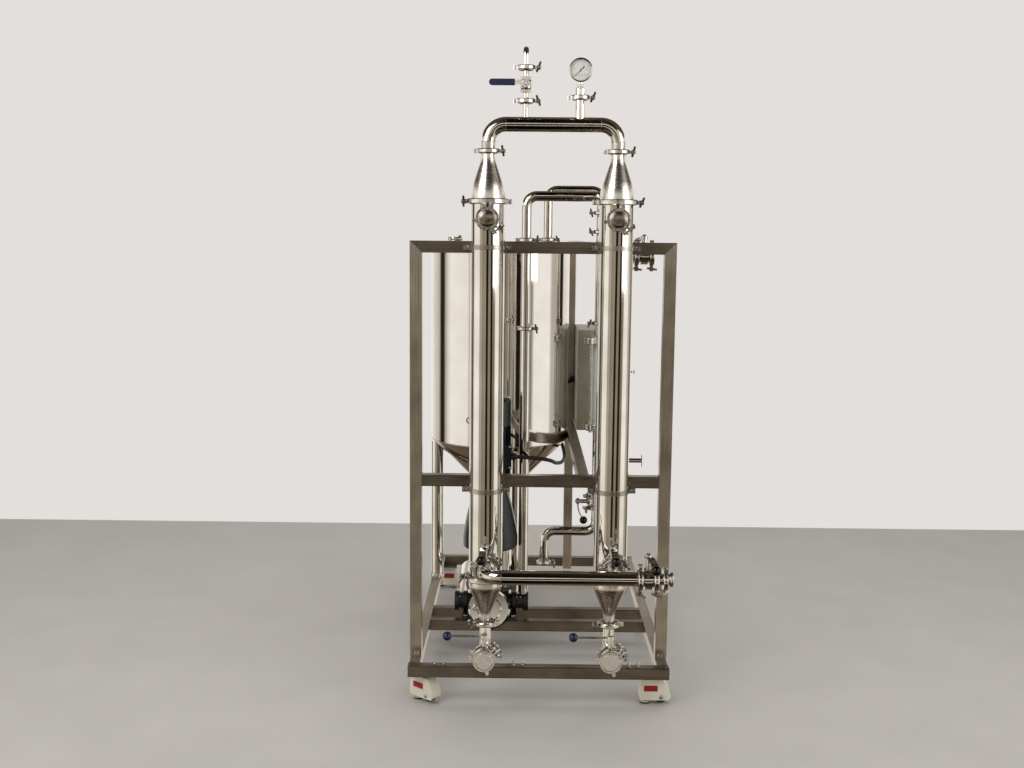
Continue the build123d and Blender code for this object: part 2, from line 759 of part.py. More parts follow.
# End caps on the open ferrules
upper_cap_y = col_y - col_r - port_len + 1 - ferrule_t
caps = [
    ((col_x[0], drain_y - valve_len, drain_z), across_y),
    ((col_x[1], drain_y - valve_len, drain_z), across_y),
    ((col_x[0], upper_cap_y, upper_port_z), across_y),
    ((col_x[1], upper_cap_y, upper_port_z), across_y),
    ((header_end + valve_len, header_y, port_z), across_x),
    ((branch_x + valve_half, branch_y, branch_z), across_x),
]
with BuildPart() as end_caps:
    for centre, turn in caps:
        add(stack([
            (ferrule_r, 0), (ferrule_r, ferrule_t), (ferrule_r - 2.2, ferrule_t),
            (ferrule_r - 2.2, union_w / 2 + 1),
        ], centre, {3: 1.5}, turn))
save(end_caps, "end_caps")

# Riser from the pump over to the right column, with a side branch that ends in a valve
column_back = col_y + col_r
with BuildPart() as riser_pipe:
    add(run_pipe([
        (riser_x, pump_y, pump_axis_z), (riser_x, pump_y, riser_top),
        (col_x[1], pump_y, riser_top), (col_x[1], branch_y, riser_top),
        (col_x[1], branch_y, branch_z), (branch_x - valve_half, branch_y, branch_z),
    ], drain_bend, riser_r))
    add(run_pipe([(col_x[1], branch_y, feed_z), (col_x[1], col_y, feed_z)], 0, riser_r))
    add(disc(ferrule_r, ferrule_t, (branch_x - valve_half - ferrule_t, branch_y, branch_z),
             across_x))
    for union_z in riser_union_zs:
        add(disc(small_ferrule_r, 2 * ferrule_t, (riser_x, pump_y, union_z - ferrule_t)))
    with Locations((col_x[1], col_y, feed_z)):
        Cylinder(col_r, 4 * riser_r, mode=Mode.SUBTRACT)
    with Locations((riser_x, pump_y, pump_axis_z)):
        Cylinder(port_block_r, 3 * port_block_r, rotation=across_x, mode=Mode.SUBTRACT)
save(riser_pipe, "riser_pipe")

suction_x = port_block_x[0][0] + 26.0
with BuildPart() as suction_pipe:
    add(run_pipe([
        (tank_x, tank_y, outlet_z - ferrule_t), (tank_x, tank_y, pump_axis_z),
        (suction_x, tank_y, pump_axis_z), (suction_x, pump_y, pump_axis_z),
    ], 45.0, outlet_r))
    add(disc(ferrule_r, ferrule_t, (tank_x, tank_y, outlet_z - 2 * ferrule_t)))
    with Locations((port_block_x[0][0], pump_y, pump_axis_z)):
        Cylinder(port_block_r, 5 * port_block_r, rotation=across_x, mode=Mode.SUBTRACT)
save(suction_pipe, "suction_pipe")

# Return line: tank lid, flow meter, throttle valve and the way down to the drain
meter_top = meter_z0 + meter_len
with BuildPart() as flow_line:
    add(run_pipe([
        (return_x, return_y, lid_union_z), (return_x, return_y, return_top),
        (flow_x, return_y, return_top), (flow_x, return_y, meter_top),
    ], drain_bend, riser_r))
    add(run_pipe([
        (flow_x, return_y, meter_z0), (flow_x, return_y, flow_valve_z + valve_half),
    ], 0, riser_r))
    add(run_pipe([
        (flow_x, return_y, flow_valve_z - valve_half), (flow_x, return_y, flow_bottom),
        (return_x, return_y, flow_bottom), (return_x, return_y, flow_end),
    ], 45.0, riser_r))
    add(disc(small_ferrule_r, ferrule_t, (return_x, return_y, lid_union_z)))
    add(disc(small_ferrule_r, ferrule_t, (return_x, return_y, flow_end)))
    for union_z in flow_union_zs:
        add(disc(small_ferrule_r, 2 * ferrule_t, (flow_x, return_y, union_z - ferrule_t)))
    add(disc(ferrule_r, ferrule_t, (flow_x, return_y, flow_valve_z + valve_half)))
    add(disc(ferrule_r, ferrule_t, (flow_x, return_y, flow_valve_z - valve_half - ferrule_t)))
    with Locations((flow_x, return_y, sample_z)):
        Cylinder(9.5, sample_reach, rotation=across_x, align=upward)
    add(disc(small_ferrule_r, ferrule_t, (flow_x + sample_reach, return_y, sample_z), across_x))
save(flow_line, "flow_line")

with BuildPart() as flow_meter:
    with Locations((flow_x, return_y, meter_z0)):
        Cylinder(meter_tube_r, meter_len, align=upward)
        Cylinder(meter_tube_r - 3, meter_len, align=upward, mode=Mode.SUBTRACT)
save(flow_meter, "flow_meter")

with BuildPart() as meter_ends:
    for end_z in (meter_z0, meter_top - meter_disc_t):
        add(disc(meter_disc_r, meter_disc_t, (flow_x, return_y, end_z)))
    fillet(meter_ends.edges().filter_by(GeomType.CIRCLE), 3.0)
    with Locations((flow_x, return_y, meter_z0 + meter_disc_t)):
        with PolarLocations(meter_rod_ring, 4, start_angle=45):
            Cylinder(meter_rod_r, meter_len - 2 * meter_disc_t, align=upward)
    with Locations((flow_x, return_y, meter_z0)):
        Cylinder(meter_tube_r + seat, meter_len, align=upward, mode=Mode.SUBTRACT)
save(meter_ends, "meter_ends")

# Clamp unions: place, turn of the pipe, turn about the pipe, and ring
big = clamp_ring(union_r, ferrule_r, union_w, (180,))
triple = clamp_ring(union_r, ferrule_r, union_w, (120, 240))
small = clamp_ring(small_union_r, small_ferrule_r, union_w, (180,))
unions = [
    ((vent_x, col_y, vent_union_z[0]), (0, 0, 0), 0, small),
    ((vent_x, col_y, vent_union_z[1]), (0, 0, 0), 0, small),
    ((gauge_x, col_y, gauge_union_z), (0, 0, 0), 0, small),
    ((header_end, header_y, port_z), across_x, 0, big),
    ((header_end + valve_len, header_y, port_z), across_x, 0, big),
    ((tank_x, tank_y, outlet_z - ferrule_t), (0, 0, 0), 200, big),
    ((branch_x - valve_half, branch_y, branch_z), across_x, 0, big),
    ((branch_x + valve_half, branch_y, branch_z), across_x, 0, big),
    ((return_x, return_y, lid_union_z), (0, 0, 0), 0, small),
    ((flow_x, return_y, flow_valve_z + valve_half), (0, 0, 0), 200, big),
    ((flow_x, return_y, flow_valve_z - valve_half), (0, 0, 0), 200, big),
]
for cx in col_x:
    unions.append(((cx, col_y, u_clamp_z), (0, 0, 0), 0, big))
    unions.append(((cx, col_y, drain_clamp_z), (0, 0, 0), 180, big))
    unions.append(((cx, upper_cap_y, upper_port_z), across_y, -50, triple))
    unions.append(((cx, port_face_y, port_z), across_y, 45, triple))
    unions.append(((cx, port_out_y, port_z), across_y, 45, triple))
    unions.append(((cx, drain_y, drain_z), across_y, 45, triple))
    unions.append(((cx, drain_y - valve_len, drain_z), across_y, 45, triple))
for union_z in riser_union_zs:
    unions.append(((riser_x, pump_y, union_z), (0, 0, 0), 0, small))
for union_z in flow_union_zs:
    unions.append(((flow_x, return_y, union_z), (0, 0, 0), 180, small))
with BuildPart() as pipe_unions:
    for centre, turn, spin, ring in unions:
        with Locations(Location(centre, turn) * Location((0, 0, 0), (0, 0, spin))):
            add(ring)
save(pipe_unions, "pipe_unions")

# Motor cable to the cabinet, with the radius of each bend
cable_r = 7.5
cable_route = [
    (box_x + box_w / 2, box_y - 5, box_z), (0, pump_y - 57, box_z - 7), (55, 632, 742),
    (72, 770, 706), (104, 920, 680), (122, 1065, 676), (115, 1195, 706), (86, 1296, 776),
    (70, 1336, 868), (100, 1342, 950), (cab_x0, 1342, 978),
]


def bend_radii(route):
    # Each bend takes 0.45 of the shorter run beside it.
    places = [Vector(*place) for place in route]
    radii = []
    for a, b, c in zip(places, places[1:], places[2:]):
        turn = (b - a).get_angle(c - b)
        shorter = min((b - a).length, (c - b).length)
        radii.append(0.45 * shorter / tan(radians(turn / 2)))
    return radii


cable_radii = bend_radii(cable_route)
print("cable bend radii", [round(radius, 1) for radius in cable_radii])
with BuildPart() as motor_cable:
    with BuildLine() as cable_path:
        FilletPolyline(*cable_route, radius=cable_radii)
    with BuildSketch(Plane(origin=cable_path.line @ 0, z_dir=cable_path.line % 0)):
        Circle(cable_r)
    sweep()
    with Locations((box_x, box_y, box_z)):
        Box(box_w, box_w - 6, box_h, mode=Mode.SUBTRACT)
    with Locations((cab_x0, cab_y, mid_top + cab_h / 2)):
        Box(cab_w, cab_d, cab_h, align=(Align.MIN, Align.CENTER, Align.CENTER),
            mode=Mode.SUBTRACT)
save(motor_cable, "motor_cable")
cable_len = sum(edge.length for edge in cable_path.line.edges())
cable_fill = motor_cable.part.volume / (pi * cable_r ** 2 * cable_len)
print("cable length", round(cable_len), "volume over section times length", round(cable_fill, 4))

# Casters: plates on the frame, hooded housings that swivel, wheels that roll
caster_turns = {
    "front_left": (-caster_x, caster_ys[0], -40.0),
    "front_right": (caster_x, caster_ys[0], 0.0),
    "rear_left": (-caster_x, caster_ys[1], 180.0),
    "rear_right": (caster_x, caster_ys[1], -110.0),
}
with BuildPart() as caster_plates:
    for px, py, _ in caster_turns.values():
        with Locations((px, py, base_z)):
            Box(86, 70, plate_t, align=downward)
            Cylinder(swivel_pin_r, 26, align=downward)
save(caster_plates, "caster_plates")

housing_top = base_z - plate_t - 5.0
hood_end = wheel_u + wheel_r + 8.0
for name, (px, py, turn) in caster_turns.items():
    with BuildPart() as housing:
        with BuildSketch(Plane.XZ.offset(-housing_w / 2)):
            with BuildLine():
                Polyline(
                    (hood_end, 26), (hood_end - 8, 16), (-42, 16), (-46, 24), (-46, 64),
                    (-34, housing_top), (32, housing_top),
                )
                ThreePointArc((32, housing_top), (hood_end - 9, 62), (hood_end, 26))
            make_face()
        extrude(amount=housing_w)
        fillet(housing.edges().filter_by(Axis.Y), 3.0)
        with Locations((wheel_u, 0, wheel_z)):
            Cylinder(wheel_r + 5, slot_w, rotation=across_y, mode=Mode.SUBTRACT)
        with Locations((wheel_u, 0, 0)):
            Box(2 * wheel_r + 10, slot_w, wheel_z, align=upward, mode=Mode.SUBTRACT)
        for cheek in (-1, 1):
            with Locations((foot_u + 18, cheek * housing_w / 2, 58)):
                Box(48, 2 * window_depth, 22, mode=Mode.SUBTRACT)
        with Locations((wheel_u, 0, wheel_z)):
            Cylinder(pin_r - 1, housing_w - 4, rotation=across_y)
        with Locations((foot_u, 0, 0)):
            Cylinder(17, 9, align=upward)
            Cylinder(6, 20, align=upward)
        with Locations((0, 0, housing_top)):
            Cylinder(swivel_pin_r + spindle_gap, 40, mode=Mode.SUBTRACT)
    housing.part = Pos(px, py, 0) * Rot(0, 0, turn) * housing.part
    save(housing, f"caster_{name}")

    with BuildPart() as wheel:
        with Locations((wheel_u, 0, wheel_z)):
            Cylinder(wheel_r, wheel_w, rotation=across_y)
            Cylinder(pin_r - 1 + spindle_gap, wheel_w, rotation=across_y, mode=Mode.SUBTRACT)
        fillet(wheel.edges().filter_by(GeomType.CIRCLE).sort_by(SortBy.RADIUS)[-2:], 2.5)
    wheel.part = Pos(px, py, 0) * Rot(0, 0, turn) * wheel.part
    save(wheel, f"wheel_{name}")
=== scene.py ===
from math import cos, pi, radians, sin

import bmesh
import bpy
from bpy.props import FloatProperty, FloatVectorProperty, IntProperty, PointerProperty
from mathutils import Matrix, Vector


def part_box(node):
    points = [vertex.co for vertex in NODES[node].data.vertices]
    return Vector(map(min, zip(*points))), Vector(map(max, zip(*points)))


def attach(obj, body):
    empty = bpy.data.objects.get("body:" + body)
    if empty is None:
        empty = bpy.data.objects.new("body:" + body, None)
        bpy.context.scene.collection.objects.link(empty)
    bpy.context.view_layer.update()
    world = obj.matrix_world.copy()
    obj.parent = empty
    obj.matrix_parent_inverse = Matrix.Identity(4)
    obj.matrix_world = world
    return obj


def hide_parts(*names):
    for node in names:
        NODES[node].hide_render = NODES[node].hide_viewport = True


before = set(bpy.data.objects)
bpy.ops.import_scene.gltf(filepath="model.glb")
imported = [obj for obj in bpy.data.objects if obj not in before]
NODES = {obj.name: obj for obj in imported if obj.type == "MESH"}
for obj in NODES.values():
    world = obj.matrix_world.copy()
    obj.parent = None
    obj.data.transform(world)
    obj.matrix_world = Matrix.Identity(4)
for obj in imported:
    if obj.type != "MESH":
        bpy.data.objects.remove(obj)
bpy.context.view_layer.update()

bl_info = {
    "name": "Membrane filtration unit",
    "version": (1, 0, 0),
    "blender": (4, 5, 0),
    "location": "View3D > Sidebar > Filtration",
    "description": "Finishes and small fittings of a two-column membrane filtration unit",
    "category": "Object",
}

# Front face of the base frame. Places below are millimetres from the middle of that face.
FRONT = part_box("base_cross_rails")[0].y
MM = 0.001


def at(x, y, z):
    """A place given in millimetres from the middle of the base's front face."""
    return Vector((x * MM, FRONT + y * MM, z * MM))


# Photograph: 1024 x 768, focal length and attitude fitted to the frame's corners
PHOTO_WIDTH = 1024
FOCAL_PIXELS = 1185.27
SENSOR = 36.0
CAMERA_AT = (-71.5, -3919.5, 1608.4)
YAW, PITCH, ROLL = radians(-0.4163), radians(7.0936), radians(0.5403)

# Sizes and places on the unit, in millimetres from the middle of the base's front face
HALF = 450.0
TUBE = 40.0
BASE_TOP = 140.0
PORTAL_Y = 95.0
TOP_RAIL_Z = 1572.0
COLUMN_X = (-185.0, 240.0)
COLUMN_Y = 25.0
PORT_Z = 508.0
DRAIN_Z = 195.0
CAP_Y, CAP_Z = -49.2, 1665.0
HEADER_Y = -173.2
RISER = (-55.0, 589.0)
RETURN = (35.0, 1000.0)
FLOW = (252.0, 1000.0)
BRANCH = (350.0, 200.0, 1550.0)
TANK = (-160.0, 1090.0)
PUMP = (-183.0, 589.0)
PUMP_AXIS_Z = 190.0
GAUGE = (113.0, 12.0, 2145.0)
VENT = (-64.0, -20.0, 2098.0)
TANK_R, COLUMN_R, OUTLET_R, PIPE_R, SLIM_PIPE_R = 290.0, 57.0, 25.5, 24.0, 19.0

# Clamps, by the height of their joint, and the welds of their ferrules above and below
COLUMN_CLAMPS = (452.0, 1722.0)
TOP_CLAMP, FOOT_CLAMP = 1885.0, 290.0
VENT_CLAMPS, GAUGE_CLAMP = (2046.0, 2152.0), 2058.0
RISER_CLAMPS = (1262.0, 1596.0)
FLOW_CLAMPS = (1255.0, 1630.0, 1707.0)
RETURN_CLAMP, RETURN_FOOT = 1597.0, 232.5
OUTLET_CLAMP = 445.3
FERRULE = 7.0

# Butterfly valves: their middles, half their length, and what stands on their spindles
PORT_VALVE_Y, DRAIN_VALVE_Y = -76.2, -64.0
HEADER_VALVE_X = 349.0
FLOW_VALVE_Z = 500.0
VALVE_HALF = 26.0
SPINDLE_LEN, BRANCH_SPINDLE_LEN = 76.0, 58.0
NUT_LIFT = 6.2
KNOB_REACH, KNOB_DROP, ROD_REACH = 82.0, 25.0, 125.0
KNOB_R, DRAIN_KNOB_R = 16.8, 15.8

# Casters: place of the swivel and its turn in degrees; axle and foot from the swivel
CASTERS = {
    "front_left": (-398.0, 52.0, -40.0), "front_right": (398.0, 52.0, 0.0),
    "rear_left": (-398.0, 1398.0, 180.0), "rear_right": (398.0, 1398.0, -110.0),
}
AXLE_X, AXLE_Z, FOOT_X = 29, 28, -25

# Studio floor: its half width, and where the wall begins
FLOOR_HALF = 6000
WALL_Y = 2600.0

X, Y, Z = Vector((1, 0, 0)), Vector((0, 1, 0)), Vector((0, 0, 1))


def srgb(code):
    """Linear colour, with full alpha, from an sRGB hex code."""
    parts = [int(code[i:i + 2], 16) / 255 for i in (0, 2, 4)]
    linear = [c / 12.92 if c <= 0.04045 else ((c + 0.055) / 1.055) ** 2.4 for c in parts]
    return (*linear, 1.0)


def add_node(tree, kind, inputs=None, **settings):
    """Adds a node with its settings; an input is a value or another node's output."""
    made = tree.nodes.new(kind)
    for name, value in settings.items():
        setattr(made, name, value)
    for key, value in (inputs or {}).items():
        if isinstance(value, bpy.types.NodeSocket):
            tree.links.new(value, made.inputs[key])
        else:
            made.inputs[key].default_value = value
    return made


def new_material(name):
    """An empty material with its output node."""
    material = bpy.data.materials.new(name)
    material.use_nodes = True
    tree = material.node_tree
    tree.nodes.clear()
    return material, tree, add_node(tree, "ShaderNodeOutputMaterial")


def ramp(tree, factor, stops):
    """A colour ramp from (position, linear colour) stops."""
    made = add_node(tree, "ShaderNodeValToRGB", {"Fac": factor})
    band = made.color_ramp
    while len(band.elements) < len(stops):
        band.elements.new(0.5)
    for element, (place, colour) in zip(band.elements, stops):
        element.position = place
        element.color = colour
    return made


def stretched_noise(tree, size_mm, detail=2.0):
    """Noise in object space with its own grain size in millimetres along X, Y and Z."""
    place = add_node(tree, "ShaderNodeTexCoord")
    spread = add_node(tree, "ShaderNodeMapping", {
        "Vector": place.outputs["Object"], "Scale": [1 / (s * MM) for s in size_mm]})
    return add_node(tree, "ShaderNodeTexNoise",
                    {"Vector": spread.outputs["Vector"], "Scale": 1.0, "Detail": detail})


def metal(name, dark, light, rough, grain_mm, bump_mm, patch_mm=120.0):
    """Bare metal: two tones and two roughnesses in soft patches, and a grain in relief."""
    material, tree, out = new_material(name)
    patch = stretched_noise(tree, (patch_mm, patch_mm, patch_mm), 3.0)
    grain = stretched_noise(tree, grain_mm)
    tone = ramp(tree, patch.outputs["Fac"], [(0.3, srgb(dark)), (0.7, srgb(light))])
    polish = add_node(tree, "ShaderNodeMapRange", {
        "Value": grain.outputs["Fac"], "From Min": 0.3, "From Max": 0.7,
        "To Min": rough[0], "To Max": rough[1]})
    relief = add_node(tree, "ShaderNodeBump", {
        "Height": grain.outputs["Fac"], "Strength": 0.6, "Distance": bump_mm * MM})
    skin = add_node(tree, "ShaderNodeBsdfPrincipled", {
        "Base Color": tone.outputs["Color"], "Metallic": 1.0,
        "Roughness": polish.outputs["Result"], "Normal": relief.outputs["Normal"]})
    tree.links.new(skin.outputs["BSDF"], out.inputs["Surface"])
    return material


def coating(name, dark, light, rough, grain_mm, bump_mm, ior=1.5):
    """Paint, plastic or rubber: a slightly uneven tone and a fine surface relief."""
    material, tree, out = new_material(name)
    patch = stretched_noise(tree, (60.0, 60.0, 60.0), 3.0)
    grain = stretched_noise(tree, (grain_mm, grain_mm, grain_mm))
    tone = ramp(tree, patch.outputs["Fac"], [(0.3, srgb(dark)), (0.7, srgb(light))])
    polish = add_node(tree, "ShaderNodeMapRange", {
        "Value": patch.outputs["Fac"], "From Min": 0.3, "From Max": 0.7,
        "To Min": rough[0], "To Max": rough[1]})
    relief = add_node(tree, "ShaderNodeBump", {
        "Height": grain.outputs["Fac"], "Strength": 0.5, "Distance": bump_mm * MM})
    skin = add_node(tree, "ShaderNodeBsdfPrincipled", {
        "Base Color": tone.outputs["Color"], "Roughness": polish.outputs["Result"],
        "IOR": ior, "Normal": relief.outputs["Normal"]})
    tree.links.new(skin.outputs["BSDF"], out.inputs["Surface"])
    return material


def clear_wall(name, tint, ior, body):
    """Clear sheet or tube: mostly open to what lies behind, with a gloss of its own."""
    material, tree, out = new_material(name)
    smear = stretched_noise(tree, (14.0, 14.0, 60.0), 2.0)
    polish = add_node(tree, "ShaderNodeMapRange", {
        "Value": smear.outputs["Fac"], "From Min": 0.3, "From Max": 0.7,
        "To Min": 0.02, "To Max": 0.08})
    skin = add_node(tree, "ShaderNodeBsdfPrincipled", {
        "Base Color": srgb(tint), "Roughness": polish.outputs["Result"], "IOR": ior,
        "Alpha": body})
    tree.links.new(skin.outputs["BSDF"], out.inputs["Surface"])
    return material


# Each finish is named for its material and for how its surface was made. Grain and relief are
# in millimetres. Real draw and grinding lines lie far closer than the render can show, so they
# are drawn 3 to 5 mm apart.

# Name, dark and light tone, roughness, grain along X, Y and Z, relief, size of the patches
METALS = {
    # Clear vertical bands of the room, and faint draw lines along the tube
    "polished_tube": (
        "Stainless 304 tube, mirror polished", "CDC9C2", "E2DFD9",
        (0.03, 0.09), (5.0, 5.0, 400.0), 0.02),
    # Rolled tank sheet: the same polish over a slightly wavy wall
    "tank_sheet": (
        "Stainless 304 sheet, rolled and mirror polished", "D3CFC8", "DEDBD5",
        (0.03, 0.06), (70.0, 70.0, 420.0), 0.4),
    # The same polish on pipes that lie down: draw lines run across the unit
    "polished_pipe": (
        "Stainless 304 pipe, polished", "C6C1B9", "DDD9D2",
        (0.06, 0.13), (300.0, 5.0, 5.0), 0.02),
    # Satin frame tube, ground lengthwise: soft, brownish reflections. Its darker tone is a painted
    # reflection of a dark floor, painted shade
    "ground_x_shaded": (
        "Stainless frame tube, belt ground across", "6C6358", "887E72",
        (0.24, 0.36), (260.0, 3.0, 3.0), 0.06),
    # The same tube where it runs to the rear: its paler tone is painted light from the lamps
    "ground_y_lit": (
        "Stainless frame tube, belt ground to the rear", "A59C91", "BDB5AB",
        (0.26, 0.4), (3.0, 260.0, 3.0), 0.06),
    # The same tube upright: long soft streaks
    "ground_z": (
        "Stainless frame tube, belt ground upright", "A79D8F", "C8BEB0",
        (0.24, 0.36), (3.0, 3.0, 260.0), 0.06),
    # Investment-cast clamps, tumbled: bright but slightly dimpled
    "cast_clamp": (
        "Stainless clamp casting, tumbled", "C9C5BE", "E6E3DE",
        (0.14, 0.28), (7.0, 7.0, 7.0), 0.12, 30.0),
    # Machined valve bodies: smooth with fine turning marks
    "turned_body": (
        "Stainless valve body, turned", "BDB9B1", "DEDAD4",
        (0.08, 0.18), (6.0, 6.0, 6.0), 0.05, 40.0),
    # Pressed blank caps: pale and even, without a mirror
    "pressed_cap": (
        "Stainless cap, pressed and blasted", "E8E6E1", "EFEDE9",
        (0.22, 0.28), (9.0, 9.0, 9.0), 0.004, 25.0),
    # Weld beads, pickled and brushed: dull against the polish
    "weld_bead": (
        "Stainless weld bead, brushed", "9D978E", "C6C0B6",
        (0.25, 0.4), (3.0, 3.0, 3.0), 0.1, 18.0),
    # Zinc-plated steel plates: duller and bluer than the stainless
    "zinc_plate": (
        "Steel plate, bright zinc plated", "B0B1B0", "D4D4D2",
        (0.24, 0.4), (9.0, 9.0, 9.0), 0.08, 20.0),
    # Nuts and bolt ends: small bright glints on the rails
    "bolt_steel": (
        "Stainless fastener, cold headed", "D2D0CC", "ECEAE6",
        (0.12, 0.22), (5.0, 5.0, 5.0), 0.03, 12.0),
    # Saddle straps, left unpolished: a duller band across the columns
    "rolled_strap": (
        "Stainless strap, rolled", "8F897F", "BFB9AF",
        (0.18, 0.3), (60.0, 60.0, 3.0), 0.06),
    # Cones, brushed round their axis: the room's dark roof is smeared to grey
    "spun_cone": (
        "Stainless cone, spun and satin brushed", "D6D1CA", "E3DFD9",
        (0.22, 0.3), (60.0, 60.0, 9.0), 0.01),
    # Wing nuts, swing bolts and cap domes, barrelled: darker than what they hold, the darker tone
    # being painted shade
    "nut_casting_shaded": (
        "Stainless wing nut, cast and barrelled", "6F675C", "A39B8F",
        (0.2, 0.36), (4.0, 4.0, 4.0), 0.1, 16.0),
}
# Name, dark and light tone, roughness, grain, relief, and the IOR where it isn't 1.5
COATINGS = {
    # Cabinet: fine orange peel, no mirror. Its olive grey is pebble grey darkened by painted shade
    "powder_grey": (
        "Powder-coated sheet steel, pebble grey", "97947F", "A5A28E", (0.38, 0.5), 4.0, 0.05),
    # Motor and stool: deep, with bright window-like glints
    "teal_enamel": (
        "Enamelled cast iron, dark teal", "020B10", "06171E", (0.16, 0.26), 9.0, 0.12),
    # Pump castings: the rougher skin of sand casting under dipped paint
    "black_casting": (
        "Cast iron, dipped black paint", "0C0D0E", "191A1B", (0.3, 0.45), 6.0, 0.35),
    # Cable sheath, door seal and foot pads: almost no highlight
    "cable_rubber": (
        "Extruded rubber sheath", "030303", "090909", (0.5, 0.65), 8.0, 0.1),
    # Caster housings: a soft warm sheen
    "ivory_nylon": (
        "Moulded nylon, ivory", "D6CFBC", "E8E2D2", (0.32, 0.45), 5.0, 0.06),
    # Wheels, hubs and glands: soft sheen, scuffed on the tread
    "black_nylon": (
        "Moulded nylon, black", "101011", "1E1E1F", (0.3, 0.5), 7.0, 0.12),
    # Ball knobs: hard gloss
    "black_phenolic": (
        "Moulded phenolic, black", "040404", "0A0A0A", (0.08, 0.14), 20.0, 0.02, 1.45),
    # Ball knobs of the drains: the same gloss, stronger, over blue
    "blue_phenolic": (
        "Moulded phenolic, dark blue", "0A1A3C", "11264F", (0.1, 0.18), 20.0, 0.02, 1.6),
    # Dipped grip: soft gloss
    "navy_vinyl": (
        "Dipped vinyl, navy", "0B1634", "132248", (0.28, 0.38), 6.0, 0.06),
    # Thumbwheels: a soft gloss on clear red
    "red_nylon": (
        "Moulded nylon, red", "A3121B", "BF1D26", (0.3, 0.42), 5.0, 0.06),
    # Gauge face: flat and even white
    "dial_white": (
        "Lacquered aluminium dial, white", "DAD8D3", "E3E1DC", (0.3, 0.4), 10.0, 0.01),
    # Marks and figures: matt black
    "dial_print": (
        "Screen-print ink, black", "0A0A0A", "141414", (0.5, 0.6), 10.0, 0.005),
    # Gaskets: a dull white line
    "silicone": (
        "Moulded silicone gasket, white", "D9D8D4", "E6E5E1", (0.4, 0.5), 5.0, 0.02, 1.42),
}
# Name, tint, IOR, and how much of the wall itself is seen
CLEAR_WALLS = {
    # Flat gauge window: the dial shows almost unchanged through it
    "window_glass": ("Gauge window, float glass", "F4F7F6", 1.52, 0.1),
    # Meter tube: a milky wall, the float dim behind it
    "meter_glass": ("Flow meter tube, cast acrylic", "F1F1EC", 1.49, 0.42),
}
MATERIALS = {}


def make_materials():
    """Makes every finish on the unit."""
    for make, table in ((metal, METALS), (coating, COATINGS), (clear_wall, CLEAR_WALLS)):
        for key, values in table.items():
            MATERIALS[key] = make(*values)


FINISH = {
    "tank_sheet": ("tank_shell", "tank_cone", "tank_lid"),
    "polished_tube": ("tank_legs", "column_housings", "riser_pipe", "pump_sleeve",
                      "vent_gooseneck", "flow_line", "drain_elbows", "suction_pipe",
                      "pressure_gauge", "pump_cover"),
    "spun_cone": ("top_reducers", "bottom_cones"),
    "polished_pipe": ("u_pipe", "permeate_header"),
    # Rails across the unit carry painted shade in their darker tone
    "ground_x_shaded": ("base_cross_rails", "pump_bars", "top_rail", "mid_rail"),
    # Rails to the rear carry painted light in their paler tone
    "ground_y_lit": ("base_side_rails", "tank_bearer", "tie_rails"),
    "ground_z": ("uprights", "rear_post"),
    "cast_clamp": ("column_clamps", "pipe_unions", "meter_ends"),
    "rolled_strap": ("column_brackets",),
    "pressed_cap": ("end_caps",),
    "turned_body": ("butterfly_valves", "vent_valve", "vent_lever", "left_drain_lever",
                    "right_drain_lever", "left_port_lever", "right_port_lever",
                    "header_lever", "flow_lever", "branch_lever"),
    "zinc_plate": ("caster_plates",),
    "powder_grey": ("cabinet_box", "cabinet_door"),
    "teal_enamel": ("motor_stool", "pump_motor"),
    "black_casting": ("pump_base", "pump_ports"),
    "meter_glass": ("flow_meter",),
}


def dress_nodes():
    """Gives every carried-over solid its finish."""
    for finish, names in FINISH.items():
        for name in names:
            dress(NODES[name], MATERIALS[finish])
    for corner in ("front_left", "front_right", "rear_left", "rear_right"):
        dress(NODES[f"caster_{corner}"], MATERIALS["ivory_nylon"])
        dress(NODES[f"wheel_{corner}"], MATERIALS["black_nylon"])


def dress(piece, material):
    """Puts one material in a piece's slots."""
    if not piece.data.materials:
        piece.data.materials.append(material)
    for index in range(len(piece.data.materials)):
        piece.data.materials[index] = material


def placed(where, axis=Z):
    """Matrix that stands local Z along an axis at a place."""
    turn = Z.rotation_difference(Vector(axis).normalized())
    return Matrix.Translation(where) @ turn.to_matrix().to_4x4()


def facing(where, along, across):
    """Matrix with local Z along one direction and local X along another."""
    z = Vector(along).normalized()
    y = z.cross(Vector(across)).normalized()
    turn = Matrix((y.cross(z), y, z)).transposed()
    return Matrix.Translation(where) @ turn.to_4x4()


def shift(x, y, z):
    """A move along the local axes, in millimetres."""
    return Matrix.Translation((x * MM, y * MM, z * MM))


def up(z):
    """A move along local Z, in millimetres."""
    return shift(0, 0, z)


def spun(degrees):
    """A turn about local Z."""
    return Matrix.Rotation(radians(degrees), 4, "Z")


def polar(radius, degrees):
    """The two steps from a circle's middle to a point on it."""
    return radius * cos(radians(degrees)), radius * sin(radians(degrees))


